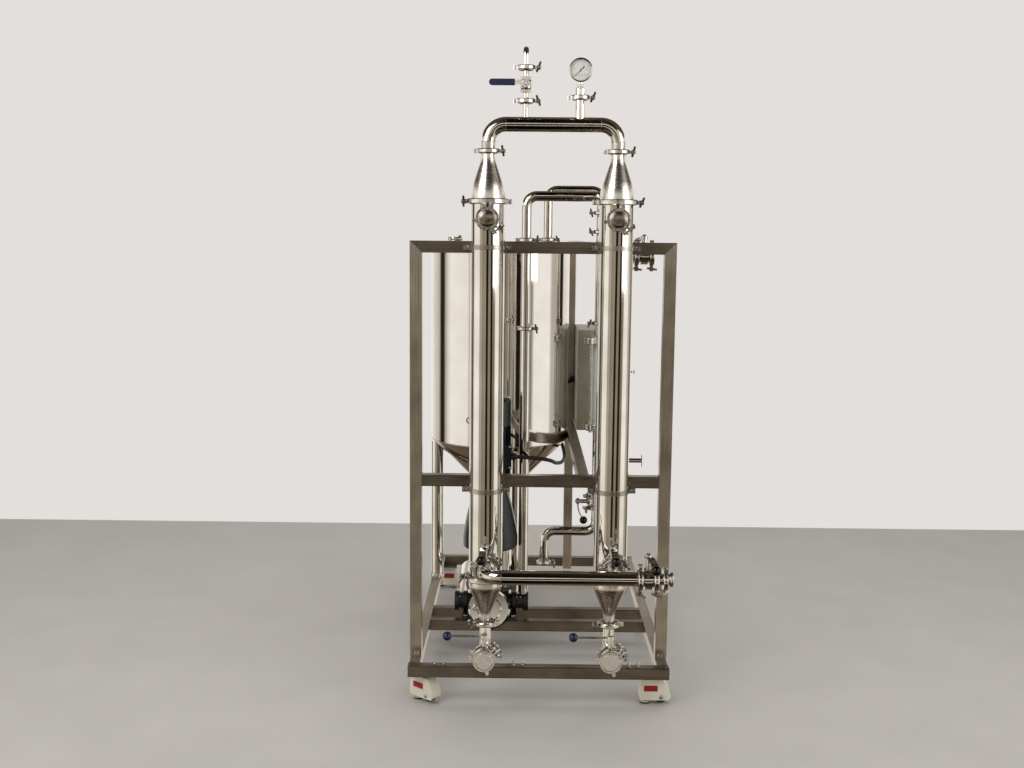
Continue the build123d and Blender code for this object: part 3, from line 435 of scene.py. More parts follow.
class Shape:
    """A mesh put together from turned, extruded and swept bodies."""

    def __init__(self):
        self.mesh = bmesh.new()

    def turn(self, profile, place, sides=24):
        """A body of revolution from (radius, height) pairs in millimetres, closed at both ends."""
        rings = []
        for radius, height in profile:
            ring = []
            for k in range(sides):
                angle = 2 * pi * k / sides
                point = Vector((radius * cos(angle), radius * sin(angle), height)) * MM
                ring.append(self.mesh.verts.new(place @ point))
            rings.append(ring)
        for low, high in zip(rings, rings[1:]):
            for k in range(sides):
                n = (k + 1) % sides
                self.mesh.faces.new((low[k], low[n], high[n], high[k]))
        self.mesh.faces.new(list(reversed(rings[0])))
        self.mesh.faces.new(rings[-1])
        return self

    def hoop(self, profile, place, sides=32):
        """A ring whose closed section is (radius, height) pairs in millimetres."""
        rings = []
        for k in range(sides):
            angle = 2 * pi * k / sides
            rings.append([self.mesh.verts.new(
                place @ (Vector((r * cos(angle), r * sin(angle), h)) * MM)) for r, h in profile])
        count = len(profile)
        for k in range(sides):
            one, two = rings[k], rings[(k + 1) % sides]
            for i in range(count):
                j = (i + 1) % count
                self.mesh.faces.new((one[i], two[i], two[j], one[j]))
        return self

    def slab(self, outline, thickness, place):
        """An outline in local XY, extruded evenly both ways along local Z."""
        half = thickness / 2
        low = [self.mesh.verts.new(place @ (Vector((x, y, -half)) * MM)) for x, y in outline]
        high = [self.mesh.verts.new(place @ (Vector((x, y, half)) * MM)) for x, y in outline]
        count = len(outline)
        for i in range(count):
            j = (i + 1) % count
            self.mesh.faces.new((low[i], low[j], high[j], high[i]))
        self.mesh.faces.new(list(reversed(low)))
        self.mesh.faces.new(high)
        return self

    def block(self, size, place):
        """A plain block about its centre; its edges are rounded by the piece's bevel."""
        x, y = size[0] / 2, size[1] / 2
        return self.slab([(-x, -y), (x, -y), (x, y), (-x, y)], size[2], place)

    def ball(self, radius, centre, rings=12, sides=24):
        """A sphere as a turned arc."""
        profile = []
        for k in range(1, rings):
            angle = pi * k / rings - pi / 2
            profile.append((radius * cos(angle), radius * sin(angle)))
        return self.turn(profile, placed(centre), sides)

    def piece(self, name, finish, body, slot, bevel=0.4):
        """Turns the shape into a named piece that rides on a body."""
        bmesh.ops.recalc_face_normals(self.mesh, faces=self.mesh.faces)
        data = bpy.data.meshes.new(name)
        self.mesh.to_mesh(data)
        self.mesh.free()
        made = bpy.data.objects.new(name, data)
        bpy.context.scene.collection.objects.link(made)
        data.materials.append(MATERIALS[finish])
        data.shade_smooth()
        if bevel:
            edge = made.modifiers.new("Edges", "BEVEL")
            edge.width = bevel * MM
            edge.segments = 2
            edge.limit_method = "ANGLE"
            edge.angle_limit = radians(35)
            edge.harden_normals = True
        else:
            data.set_sharp_from_angle(angle=radians(35))
        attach(made, body)
        return made


class UnitSizes(bpy.types.PropertyGroup):
    """Sizes of the small fittings."""

    bolt_r: FloatProperty(
        name="Bolt radius", description="Radius of the frame bolts", default=0.004, unit="LENGTH")
    wing_span: FloatProperty(
        name="Wing nut span", description="Width over the wings of a clamp nut",
        default=0.035, unit="LENGTH")
    dial_marks: IntProperty(
        name="Dial marks", description="Small marks round the gauge dial", default=40)
    backdrop: FloatVectorProperty(
        name="Backdrop", description="Colour behind the unit", subtype="COLOR",
        size=3, default=srgb("E3DFDC")[:3])
    floor: FloatVectorProperty(
        name="Floor", description="Colour of the studio floor", subtype="COLOR",
        size=3, default=srgb("BDB9B5")[:3])


class UNIT_OT_stage(bpy.types.Operator):
    """Adds the floor, the studio light and the camera"""

    bl_idname = "unit.stage"
    bl_label = "Studio"

    def execute(self, context):
        sizes = context.scene.unit_sizes
        build_floor(sizes.floor)
        build_world(context.scene, sizes.backdrop)
        build_lamps(context.scene)
        build_camera(context.scene)
        context.scene.view_settings.view_transform = "Standard"
        return {"FINISHED"}


def build_floor(colour):
    """A plain pale floor that ends where the wall begins, and that the polish doesn't mirror."""
    material, tree, out = new_material("Studio floor, painted")
    mottle = stretched_noise(tree, (300.0, 300.0, 300.0), 3.0)
    dim = [c * 0.95 for c in colour]
    tone = ramp(tree, mottle.outputs["Fac"], [(0.35, (*dim, 1)), (0.65, (*colour, 1))])
    skin = add_node(tree, "ShaderNodeBsdfPrincipled", {
        "Base Color": tone.outputs["Color"], "Roughness": 0.55})
    tree.links.new(skin.outputs["BSDF"], out.inputs["Surface"])
    mesh = bmesh.new()
    corners = [mesh.verts.new(place) for place in (
        at(-FLOOR_HALF, -FLOOR_HALF, 0), at(FLOOR_HALF, -FLOOR_HALF, 0),
        at(FLOOR_HALF, WALL_Y, 0), at(-FLOOR_HALF, WALL_Y, 0))]
    mesh.faces.new(corners)
    data = bpy.data.meshes.new("Floor")
    mesh.to_mesh(data)
    mesh.free()
    data.materials.append(material)
    floor = bpy.data.objects.new("Floor", data)
    bpy.context.scene.collection.objects.link(floor)
    floor.visible_glossy = False


# What polished metal sees round the unit: bearing from the camera side in degrees, colour
ROOM = (
    (-180, "EFECE6"), (-150, "E6E2DB"), (-122, "C4BFB6"), (-115, "2A221A"), (-106, "2A221A"),
    (-101, "B9B3A8"), (-93, "E9E5DD"), (-88, "F7F4EE"), (-54, "F3EFE7"), (-49, "A79E90"),
    (-38, "B5AC9D"), (-33, "8E8474"), (-9, "9A907F"), (-5, "16110D"), (6, "16110D"),
    (10, "8A8070"), (23, "8F8576"), (26, "1C1610"), (37, "221B14"), (42, "7C7060"),
    (54, "8B7F6E"), (59, "F5F2EB"), (90, "F8F6F0"), (95, "BDB7AC"), (114, "ADA699"),
    (119, "241D16"), (127, "2A221A"), (131, "E2DDD5"), (180, "EFECE6"),
)
# The same by height, from straight down (0) to straight up (1): ground, open room, dark roof
HEIGHTS = (
    (0.0, "6A6055"), (0.25, "6E6459"), (0.29, "D8D2C8"), (0.42, "FFFFFF"), (0.60, "FFFFFF"),
    (0.66, "7A7064"), (0.72, "6A6055"), (1.0, "5C5247"),
)
# Where a pale strip runs all round the room, above and below the bays (1 is strip, 0 is bays)
STRIPS = (
    (0.25, 0.0), (0.29, 0.9), (0.34, 0.9), (0.355, 0.0),
    (0.53, 0.0), (0.55, 0.9), (0.62, 0.9), (0.68, 0.0),
)
STRIP_COLOUR, EVEN_COLOUR = "EFEAE1", "F4F2EE"
EVEN_LIGHT, ROOM_LIGHT = 0.62, 1.25


def build_world(scene, backdrop):
    """Even light on the unit, and for reflections a pale room with dark bays."""
    world = bpy.data.worlds.new("Studio")
    scene.world = world
    world.use_nodes = True
    tree = world.node_tree
    tree.nodes.clear()
    place = add_node(tree, "ShaderNodeTexCoord")
    parts = add_node(tree, "ShaderNodeSeparateXYZ", {"Vector": place.outputs["Generated"]})
    front = add_node(tree, "ShaderNodeMath", {0: parts.outputs["Y"], 1: -1.0},
                     operation="MULTIPLY")
    bearing = add_node(tree, "ShaderNodeMath", {0: parts.outputs["X"], 1: front.outputs[0]},
                       operation="ARCTAN2")
    turn = add_node(tree, "ShaderNodeMapRange", {
        "Value": bearing.outputs[0], "From Min": -pi, "From Max": pi})
    bays = ramp(tree, turn.outputs["Result"],
                [((degrees + 180) / 360, srgb(code)) for degrees, code in ROOM])
    rise = add_node(tree, "ShaderNodeMapRange", {
        "Value": parts.outputs["Z"], "From Min": -1.0, "From Max": 1.0})
    height = ramp(tree, rise.outputs["Result"], [(level, srgb(code)) for level, code in HEIGHTS])
    strip = ramp(tree, rise.outputs["Result"], [(level, (v, v, v, 1)) for level, v in STRIPS])
    ring = add_node(tree, "ShaderNodeMix", {
        "Factor": strip.outputs["Color"], "A": bays.outputs["Color"], "B": srgb(STRIP_COLOUR)},
        data_type="RGBA")
    room = add_node(tree, "ShaderNodeMix", {
        "Factor": 1.0, "A": ring.outputs["Result"], "B": height.outputs["Color"]},
        data_type="RGBA", blend_type="MULTIPLY")
    path = add_node(tree, "ShaderNodeLightPath")
    shiny = add_node(tree, "ShaderNodeMath", {
        0: path.outputs["Is Glossy Ray"], 1: path.outputs["Is Transmission Ray"]},
        operation="MAXIMUM")
    even = add_node(tree, "ShaderNodeBackground", {
        "Color": srgb(EVEN_COLOUR), "Strength": EVEN_LIGHT})
    seen = add_node(tree, "ShaderNodeBackground", {
        "Color": room.outputs["Result"], "Strength": ROOM_LIGHT})
    wall = add_node(tree, "ShaderNodeBackground", {"Color": (*backdrop, 1), "Strength": 1.0})
    first = add_node(tree, "ShaderNodeMixShader", {
        "Fac": shiny.outputs[0], 1: even.outputs[0], 2: seen.outputs[0]})
    both = add_node(tree, "ShaderNodeMixShader", {
        "Fac": path.outputs["Is Camera Ray"], 1: first.outputs[0], 2: wall.outputs[0]})
    out = add_node(tree, "ShaderNodeOutputWorld")
    tree.links.new(both.outputs[0], out.inputs["Surface"])


def build_lamps(scene):
    """Three soft boxes: key from the upper left, fill from the right, one overhead.

    The overhead box lights the roof of the unit without a mirror image of its own."""
    for name, where, size, power in (
        ("Key", (-2.6, -3.0, 3.4), 2.4, 75.0),
        ("Fill", (3.0, -2.4, 2.4), 2.4, 34.0),
        ("Overhead", (0.2, 0.6, 4.2), 2.6, 45.0),
    ):
        data = bpy.data.lights.new(name, "AREA")
        data.shape = "SQUARE"
        data.size = size
        data.energy = power
        lamp = bpy.data.objects.new(name, data)
        lamp.location = where
        lamp.visible_glossy = name != "Overhead"
        aim = Vector((0, 0, 1.0)) - Vector(where)
        lamp.rotation_mode = "QUATERNION"
        lamp.rotation_quaternion = aim.to_track_quat("-Z", "Y")
        scene.collection.objects.link(lamp)


def build_camera(scene):
    """The photograph's camera, from its fitted place and attitude."""
    ahead = Vector((sin(YAW), cos(YAW), 0))
    level = Vector((cos(YAW), -sin(YAW), 0))
    look = ahead * cos(PITCH) - Z * sin(PITCH)
    above = ahead * sin(PITCH) + Z * cos(PITCH)
    right = level * cos(ROLL) + above * sin(ROLL)
    top = above * cos(ROLL) - level * sin(ROLL)
    data = bpy.data.cameras.new("Camera")
    data.sensor_width = SENSOR
    data.lens = SENSOR * FOCAL_PIXELS / PHOTO_WIDTH
    camera = bpy.data.objects.new("Camera", data)
    turn = Matrix((right, top, -look)).transposed()
    camera.matrix_world = Matrix.Translation(at(*CAMERA_AT)) @ turn.to_4x4()
    scene.collection.objects.link(camera)
    scene.camera = camera


class UNIT_OT_finishes(bpy.types.Operator):
    """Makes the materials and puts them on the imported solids"""

    bl_idname = "unit.finishes"
    bl_label = "Finishes"

    def execute(self, context):
        make_materials()
        dress_nodes()
        return {"FINISHED"}


# Motor cable, as the source routes it: millimetres from the base's front face
CABLE_ROUTE = (
    (-103.0, 520.0, 778.0), (0.0, 532.0, 771.0), (55.0, 632.0, 742.0), (72.0, 770.0, 706.0),
    (104.0, 920.0, 680.0), (122.0, 1065.0, 676.0), (115.0, 1195.0, 706.0),
    (86.0, 1296.0, 776.0), (70.0, 1336.0, 868.0), (100.0, 1342.0, 950.0),
    (170.0, 1342.0, 978.0),
)
CABLE_R = 7.5


class UNIT_OT_cable(bpy.types.Operator):
    """Lays the motor cable from the terminal box to the cabinet"""

    bl_idname = "unit.cable"
    bl_label = "Motor cable"

    def execute(self, context):
        curve = bpy.data.curves.new("motor_cable_flex", "CURVE")
        curve.dimensions = "3D"
        spline = curve.splines.new("NURBS")
        spline.points.add(len(CABLE_ROUTE) - 1)
        for point, place in zip(spline.points, CABLE_ROUTE):
            point.co = (*at(*place), 1)
        spline.order_u = 3
        spline.use_endpoint_u = True
        spline.resolution_u = 12
        curve.bevel_depth = CABLE_R * MM
        curve.bevel_resolution = 5
        curve.use_fill_caps = True
        curve.materials.append(MATERIALS["cable_rubber"])
        flex = bpy.data.objects.new("motor_cable_flex", curve)
        context.scene.collection.objects.link(flex)
        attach(flex, "frame")
        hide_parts("motor_cable")
        return {"FINISHED"}


def hex_nut(shape, place, across, height):
    """A six-sided nut or bolt head with chamfered corners, standing on its place."""
    r = across / 2 / cos(pi / 6)
    shape.turn([(r - 0.9, 0), (r, 0.7), (r, height - 0.7), (r - 0.9, height)], place, 6)


THREAD_PITCH = 1.5


def thread(shape, place, r, length):
    """A threaded shank."""
    root = r - 0.35
    profile = [(root, 0)]
    for k in range(int(length / THREAD_PITCH)):
        profile += [(r, (k + 0.5) * THREAD_PITCH), (root, (k + 1) * THREAD_PITCH)]
    shape.turn(profile, place, 14)


def wing_nut(shape, place, span):
    """A wing nut standing on its place, wings along local X."""
    shape.turn([(7.5, 0), (7, 2), (5.6, 9), (4.8, 10)], place, 20)
    for side in (-1, 1):
        tip = span / 2
        wing = [(4, 1), (tip - 5, 3), (tip, 9), (tip + 0.5, 15),
                (tip - 3, 18), (tip - 8, 16), (tip - 11, 10), (4, 9)]
        upright = place @ Matrix.Rotation(pi / 2, 4, "X")
        shape.slab([(side * x, z) for x, z in wing][::side], 7.0, upright)


def swing_bolt(shape, centre, pipe, ear, reach, side, span):
    """Swing bolt and wing nut across the ears of a clamp ring, nut on the given side."""
    ear = Vector(ear).normalized()
    along = Vector(pipe).cross(ear).normalized() * side
    middle = at(*centre) + ear * reach * MM
    place = facing(middle, along, ear)
    thread(shape, place @ up(-13), 3.0, 36)
    shape.turn([(4.6, 0), (5.6, 1), (5.6, 5), (4.6, 6)], place @ up(-16.5), 16)
    shape.turn([(7.6, 0), (7.6, 1.4)], place @ up(9.7), 20)
    # Every nut is left at another angle, worked out from its place
    lean = 90 + (centre[0] * 7 + centre[2] * 3) % 60 - 30
    wing_nut(shape, place @ up(11.2) @ spun(lean), span)


# How far the swing bolt stands from the pipe's middle, by size of clamp
BIG, SMALL, COLUMN = 48.0, 40.5, 79.5


def column_clamp_places():
    """Clamps on the two columns: place, pipe direction, ear direction, bolt reach, nut side."""
    found = []
    for x, out in zip(COLUMN_X, (-X, X)):
        for z in COLUMN_CLAMPS:
            found.append(((x, COLUMN_Y, z), Z, out, COLUMN, -out.x))
        found.append(((x, COLUMN_Y, TOP_CLAMP), Z, X, BIG, -1))
        found.append(((x, COLUMN_Y, FOOT_CLAMP), Z, -X, BIG, 1))
    return found


def port_clamp_places():
    """Clamps on the ports, drains and header, both ends of every valve."""
    found = []
    upper_right, lower_right = X + Z, X * cos(radians(50)) - Z * sin(radians(50))
    ends = (VALVE_HALF, -VALVE_HALF)
    for x in COLUMN_X:
        for y, z in ((PORT_VALVE_Y, PORT_Z), (DRAIN_VALVE_Y, DRAIN_Z)):
            for end in ends:
                found.append(((x, y + end, z), -Y, upper_right, BIG, -1))
        found.append(((x, CAP_Y, CAP_Z), -Y, lower_right, BIG, 1))
    for x, y, z in ((HEADER_VALVE_X, HEADER_Y, PORT_Z), BRANCH):
        for end in reversed(ends):
            found.append(((x + end, y, z), X, -Z, BIG, -1))
    return found


def line_clamp_places():
    """Clamps on the vent, the gauge, the riser, the return line and the tank."""
    back = X * cos(radians(200)) + Y * sin(radians(200))
    found = [((VENT[0], COLUMN_Y, z), Z, X, SMALL, -1) for z in VENT_CLAMPS]
    found.append(((GAUGE[0], COLUMN_Y, GAUGE_CLAMP), Z, X, SMALL, -1))
    found.append(((*RETURN, RETURN_CLAMP), Z, X, SMALL, -1))
    found += [((*RISER, z), Z, X, SMALL, -1) for z in RISER_CLAMPS]
    found += [((*FLOW, z), Z, -X, SMALL, 1) for z in FLOW_CLAMPS]
    found += [((*FLOW, FLOW_VALVE_Z + end), Z, back, BIG, 1) for end in (-VALVE_HALF, VALVE_HALF)]
    found.append(((*TANK, OUTLET_CLAMP), Z, back, BIG, 1))
    return found


class UNIT_OT_clamp_bolts(bpy.types.Operator):
    """Adds the swing bolt and wing nut of every clamp"""

    bl_idname = "unit.clamp_bolts"
    bl_label = "Clamp bolts"

    def execute(self, context):
        span = context.scene.unit_sizes.wing_span / MM
        for name, places in (
            ("column_clamp_bolts", column_clamp_places()),
            ("port_clamp_bolts", port_clamp_places()),
            ("line_clamp_bolts", line_clamp_places()),
        ):
            shape = Shape()
            for centre, pipe, ear, reach, side in places:
                swing_bolt(shape, centre, pipe, ear, reach, side, span)
            shape.piece(name, "nut_casting_shaded", "frame", "clamp_stainless", 0.6)
        return {"FINISHED"}


class UNIT_OT_blanks(bpy.types.Operator):
    """Adds the domes of the upper blank caps and the ends of the header and return line"""

    bl_idname = "unit.blanks"
    bl_label = "Blanks and end fittings"

    def execute(self, context):
        # The domes take the darker nut finish: painted shade
        domes = Shape()
        for x in COLUMN_X:
            domes.turn([(27.5, 0), (27.3, 1.2), (24, 3.4), (18, 5.2), (10, 6.4), (3, 6.8)],
                       placed(at(x, CAP_Y - 8.5, CAP_Z), -Y), 48)
        domes.piece("cap_domes", "nut_casting_shaded", "frame", "polished_stainless", 0)
        ends = Shape()
        stub = placed(at(384, HEADER_Y, PORT_Z), X)
        ends.turn([(19, 0), (19, 12), (25, 14), (25, 26), (19, 28), (19, 33), (21.5, 35),
                   (25.2, 39), (25.2, 44), (24.6, 45)], stub, 48)
        foot = placed(at(*RETURN, RETURN_FOOT))
        ends.turn([(25.2, -2.8), (25.2, 0), (22.5, 0)], foot, 40)
        ends.piece("line_ends", "polished_tube", "frame", "polished_stainless", 0.3)
        rings = Shape()
        rings.hoop([(25.2, -2.4), (23.5, -7), (36.5, -7), (38.4, -4.5), (38.4, 4.5), (36.5, 7),
                    (23.5, 7), (25.2, 2.4)], stub @ up(20), 56)
        rings.hoop([(25.4, -3.0), (24, -7), (29.5, -7), (31, -4.5), (31, 4.5), (29.5, 7),
                    (24, 7), (25.4, 3.0)], foot, 48)
        swing_bolt(rings, (404, HEADER_Y, PORT_Z), X, -Z, 46, 1, 32)
        swing_bolt(rings, (*RETURN, RETURN_FOOT), Z, X, SMALL, -1, 34)
        rings.piece("end_clamps", "cast_clamp", "frame", "clamp_stainless", 0.3)
        return {"FINISHED"}


class UNIT_OT_frame_bolts(bpy.types.Operator):
    """Adds the bolts of the base rails, leg feet, pump foot and column saddles"""

    bl_idname = "unit.frame_bolts"
    bl_label = "Frame bolts"

    def execute(self, context):
        r = context.scene.unit_sizes.bolt_r / MM
        shape = Shape()
        # Bolt ends through the front rail, two to a pair
        for x in (-358, -326, -85, -54, 311, 342):
            place = placed(at(x, TUBE / 2, BASE_TOP))
            shape.turn([(9, 0), (9, 1.5)], place, 20)
            hex_nut(shape, place @ up(1.5), 13, 6.5)
            thread(shape, place @ up(8), r, 7.5)
        # Foot of each upright
        for x in (23 - HALF, HALF - 23):
            place = placed(at(x, PORTAL_Y, BASE_TOP + 12), -Y)
            shape.turn([(9, 0), (9, 1.5)], place, 20)
            hex_nut(shape, place @ up(1.5), 13, 5.5)
        # Feet of the tank legs, on plates 8 mm thick
        for angle in (180.0, -75.0, 75.0):
            dx, dy = polar(TANK_R - OUTLET_R, angle)
            for step in (-38, 38):
                place = placed(at(TANK[0] + dx, TANK[1] + dy + step, BASE_TOP + 8))
                shape.turn([(8.5, 0), (8.5, 1.5)], place, 20)
                hex_nut(shape, place @ up(1.5), 13, 6)
                thread(shape, place @ up(7.5), r, 5)
        # Pump foot, 12 mm thick
        for x in (PUMP[0] - 90, PUMP[0] + 90):
            for y in (512, 666):
                hex_nut(shape, placed(at(x, y, BASE_TOP + 12)), 17, 7)
        # Saddle ears at both rails
        for x in COLUMN_X:
            for z in (757, TOP_RAIL_Z):
                for side in (-70, 70):
                    hex_nut(shape, placed(at(x + side, COLUMN_Y - 6, z), -Y), 11, 6)
                    back = placed(at(x + side, COLUMN_Y + 6, z), Y)
                    hex_nut(shape, back, 11, 6)
                    thread(shape, back @ up(6), 3.0, 6)
        shape.piece("frame_bolts", "bolt_steel", "frame", "plate_zinc", 0)
        return {"FINISHED"}


def dial_text(text, size, where):
    """A flat figure that faces the front."""
    curve = bpy.data.curves.new("figure", "FONT")
    curve.body = text
    curve.size = size * MM
    curve.align_x = "CENTER"
    curve.align_y = "CENTER"
    holder = bpy.data.objects.new("figure", curve)
    data = bpy.data.meshes.new_from_object(holder)
    bpy.data.objects.remove(holder)
    data.transform(facing(where, -Y, X))
    return data


DIAL_FROM, DIAL_SWEEP = -135, 270


class UNIT_OT_gauge_face(bpy.types.Operator):
    """Adds the gauge's dial, marks, figures, pointer and window"""

    bl_idname = "unit.gauge_face"
    bl_label = "Gauge face"

    def execute(self, context):
        marks = context.scene.unit_sizes.dial_marks
        x, y, z = GAUGE
        dial = facing(at(x, y + 3.6, z), -Y, X)
        Shape().turn([(34, -0.2), (34, 0.2)], dial, 64).piece(
            "gauge_dial", "dial_white", "frame", "gauge_stainless", 0)
        printed = Shape()
        ink = dial @ up(0.35)
        # Marks, every fifth of the sweep a long one
        for k in range(marks + 1):
            spin = spun(DIAL_FROM + DIAL_SWEEP * k / marks)
            length, width = (4.5, 0.8) if k % (marks // 5) == 0 else (2.4, 0.35)
            printed.block((width, length, 0.1), ink @ spin @ shift(0, 29, 0))
        # Thin arc inside the marks, from short straight pieces
        for k in range(96):
            spin = spun(DIAL_FROM + DIAL_SWEEP * k / 95)
            printed.block((0.95, 0.3, 0.1), ink @ spin @ shift(0, 26.5, 0))
        # Figures 0 to 10
        for k in range(6):
            dx, dz = polar(19.5, 225 - 54 * k)
            figure = dial_text(str(2 * k), 6.0, at(x + dx, y + 3.2, z + dz))
            printed.mesh.from_mesh(figure)
        # Heads of the two dial screws
        for side in (-5.6, 5.6):
            printed.turn([(1.7, 0), (1.7, 0.2)], ink @ shift(side, -16.5, 0), 16)
        printed.piece("gauge_print", "dial_print", "frame", "gauge_stainless", 0)
        hand = Shape()
        needle = [(-2.4, -17), (2.4, -17), (1.3, -4), (0.9, 26), (-0.9, 26), (-1.3, -4)]
        hand.slab(needle, 0.5, dial @ up(1.4) @ spun(-DIAL_FROM))
        hand.turn([(3.4, -0.6), (3.4, 0.6), (2, 1.2)], dial @ up(1.4), 24)
        hand.piece("gauge_pointer", "black_phenolic", "frame", "gauge_stainless", 0)
        Shape().turn([(34.5, 0), (34.5, 0.8)], dial @ up(3.0), 64).piece(
            "gauge_window", "window_glass", "frame", "gauge_stainless", 0)
        # Rolled bezel round the window, and the hexagon of the stem
        bezel = Shape()
        bezel.hoop([(34, 4.0), (34, 0), (35, -1.8), (37, -2.2), (38.6, -0.6), (38.7, 4.5)],
                   dial @ up(3.6), 96)
        hex_nut(bezel, placed(at(x, COLUMN_Y, 2091)), 20, 10)
        bezel.piece("gauge_bezel", "polished_tube", "frame", "gauge_stainless", 0.2)
        return {"FINISHED"}


def knob(name, finish, radius, middle, body):
    """A ball knob over the ball that ends a lever."""
    Shape().ball(radius, middle, 16, 32).piece(name, finish, body, "lever_stainless", 0)


def over_lever(spindle, swing):
    """Middle of the knob of a short lever, which is swung from straight ahead by degrees."""
    reach = Vector((sin(radians(swing)), -cos(radians(swing)), 0))
    return at(*spindle) + reach * KNOB_REACH * MM - Z * KNOB_DROP * MM


class UNIT_OT_grips(bpy.types.Operator):
    """Adds the vent lever's grip, the knobs of the valve levers and their nuts"""

    bl_idname = "unit.grips"
    bl_label = "Grips and knobs"

    def execute(self, context):
        x, y, z = VENT
        upright = facing(at(x, y, z), -Y, X)
        blade = Shape()
        blade.turn([(12.6, -2.5), (13, -2.1), (13, 2.1), (12.6, 2.5)], upright, 40)
        blade.slab([(-44, -4), (-8, -4), (-4, 10), (-44, 10)], 4, upright)
        blade = blade.piece("vent_blade", "turned_body", "vent_lever", "lever_stainless", 0.4)
        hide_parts("vent_lever")
        grip = Shape()
        tip = [(-109 + 10 * cos(t), 3 + 10.3 * sin(t)) for t in
               [radians(90 + 180 * k / 12) for k in range(13)]]
        grip.slab(tip + [(-35.2, -7.3), (-35.2, 13.3)], 12, upright)
        grip.piece("vent_grip", "navy_vinyl", "vent_lever", "lever_stainless", 2.6)
        # Nuts that hold the levers on their spindles, each with the knob of its lever
        nuts = Shape()
        hex_nut(nuts, placed(at(x, y - 2.7, z), -Y), 12, 5)
        for side, column, swing in zip(("left", "right"), COLUMN_X, (-6, 4)):
            port = (column, PORT_VALVE_Y, PORT_Z + SPINDLE_LEN)
            knob(f"{side}_port_knob", "black_phenolic", KNOB_R, over_lever(port, swing),
                 f"{side}_port_lever")
            hex_nut(nuts, placed(at(*port)) @ up(NUT_LIFT), 12, 5)
            drain = (column, DRAIN_VALVE_Y, DRAIN_Z + SPINDLE_LEN)
            knob(f"{side}_drain_knob", "blue_phenolic", DRAIN_KNOB_R,
                 at(*drain) - X * ROD_REACH * MM, f"{side}_drain_lever")
            hex_nut(nuts, placed(at(*drain)) @ up(NUT_LIFT), 12, 5)
        header = (HEADER_VALVE_X, HEADER_Y, PORT_Z + SPINDLE_LEN)
        branch = (*BRANCH[:2], BRANCH[2] + BRANCH_SPINDLE_LEN)
        for name, spindle, swing in (("header", header, 12), ("branch", branch, 200)):
            knob(f"{name}_knob", "black_phenolic", KNOB_R, over_lever(spindle, swing),
                 f"{name}_lever")
            hex_nut(nuts, placed(at(*spindle)) @ up(NUT_LIFT), 12, 5)
        # The flow valve lies on its side: its spindle points left and its lever down
        flow_x, flow_y = FLOW[0] - SPINDLE_LEN, FLOW[1]
        knob("flow_knob", "black_phenolic", KNOB_R,
             at(flow_x + KNOB_DROP, flow_y, FLOW_VALVE_Z - KNOB_REACH), "flow_lever")
        hex_nut(nuts, placed(at(flow_x - NUT_LIFT, flow_y, FLOW_VALVE_Z), -X), 12, 5)
        nuts.piece("spindle_nuts", "turned_body", "frame", "valve_stainless", 0)
        return {"FINISHED"}


class UNIT_OT_tank_fittings(bpy.types.Operator):
    """Adds the blanked nozzle on the lid and the tank's weld seams"""

    bl_idname = "unit.tank_fittings"
    bl_label = "Tank fittings"

    def execute(self, context):
        nozzle = (-345.0, 949.4, 1597.0)
        place = placed(at(*nozzle))
        blank = Shape()
        blank.turn([(25.2, 0.1), (25.2, 3.2), (22.5, 3.8), (22, 6)], place, 40)
        blank.hoop([(25.4, -3.4), (24, -7), (29.5, -7), (31, -4.5), (31, 4.5), (29.5, 7),
                    (24.5, 7), (25.4, 3.6)], place, 48)
        swing_bolt(blank, nozzle, Z, -Y, SMALL, 1, 30)
        blank.piece("lid_blank", "cast_clamp", "frame", "clamp_stainless", 0.2)
        seams = Shape()
        for z in (760.0, 1554.0):
            seams.hoop([(TANK_R - 0.4, -2.2), (TANK_R + 0.5, -1), (TANK_R + 0.5, 1),
                        (TANK_R - 0.4, 2.2)], placed(at(*TANK, z)), 128)
        seams.hoop([(25, -2), (26.6, -1), (26.6, 1), (25, 2)], placed(at(*TANK, 493.5)), 40)
        seams.piece("tank_seams", "weld_bead", "frame", "polished_stainless", 0)
        return {"FINISHED"}


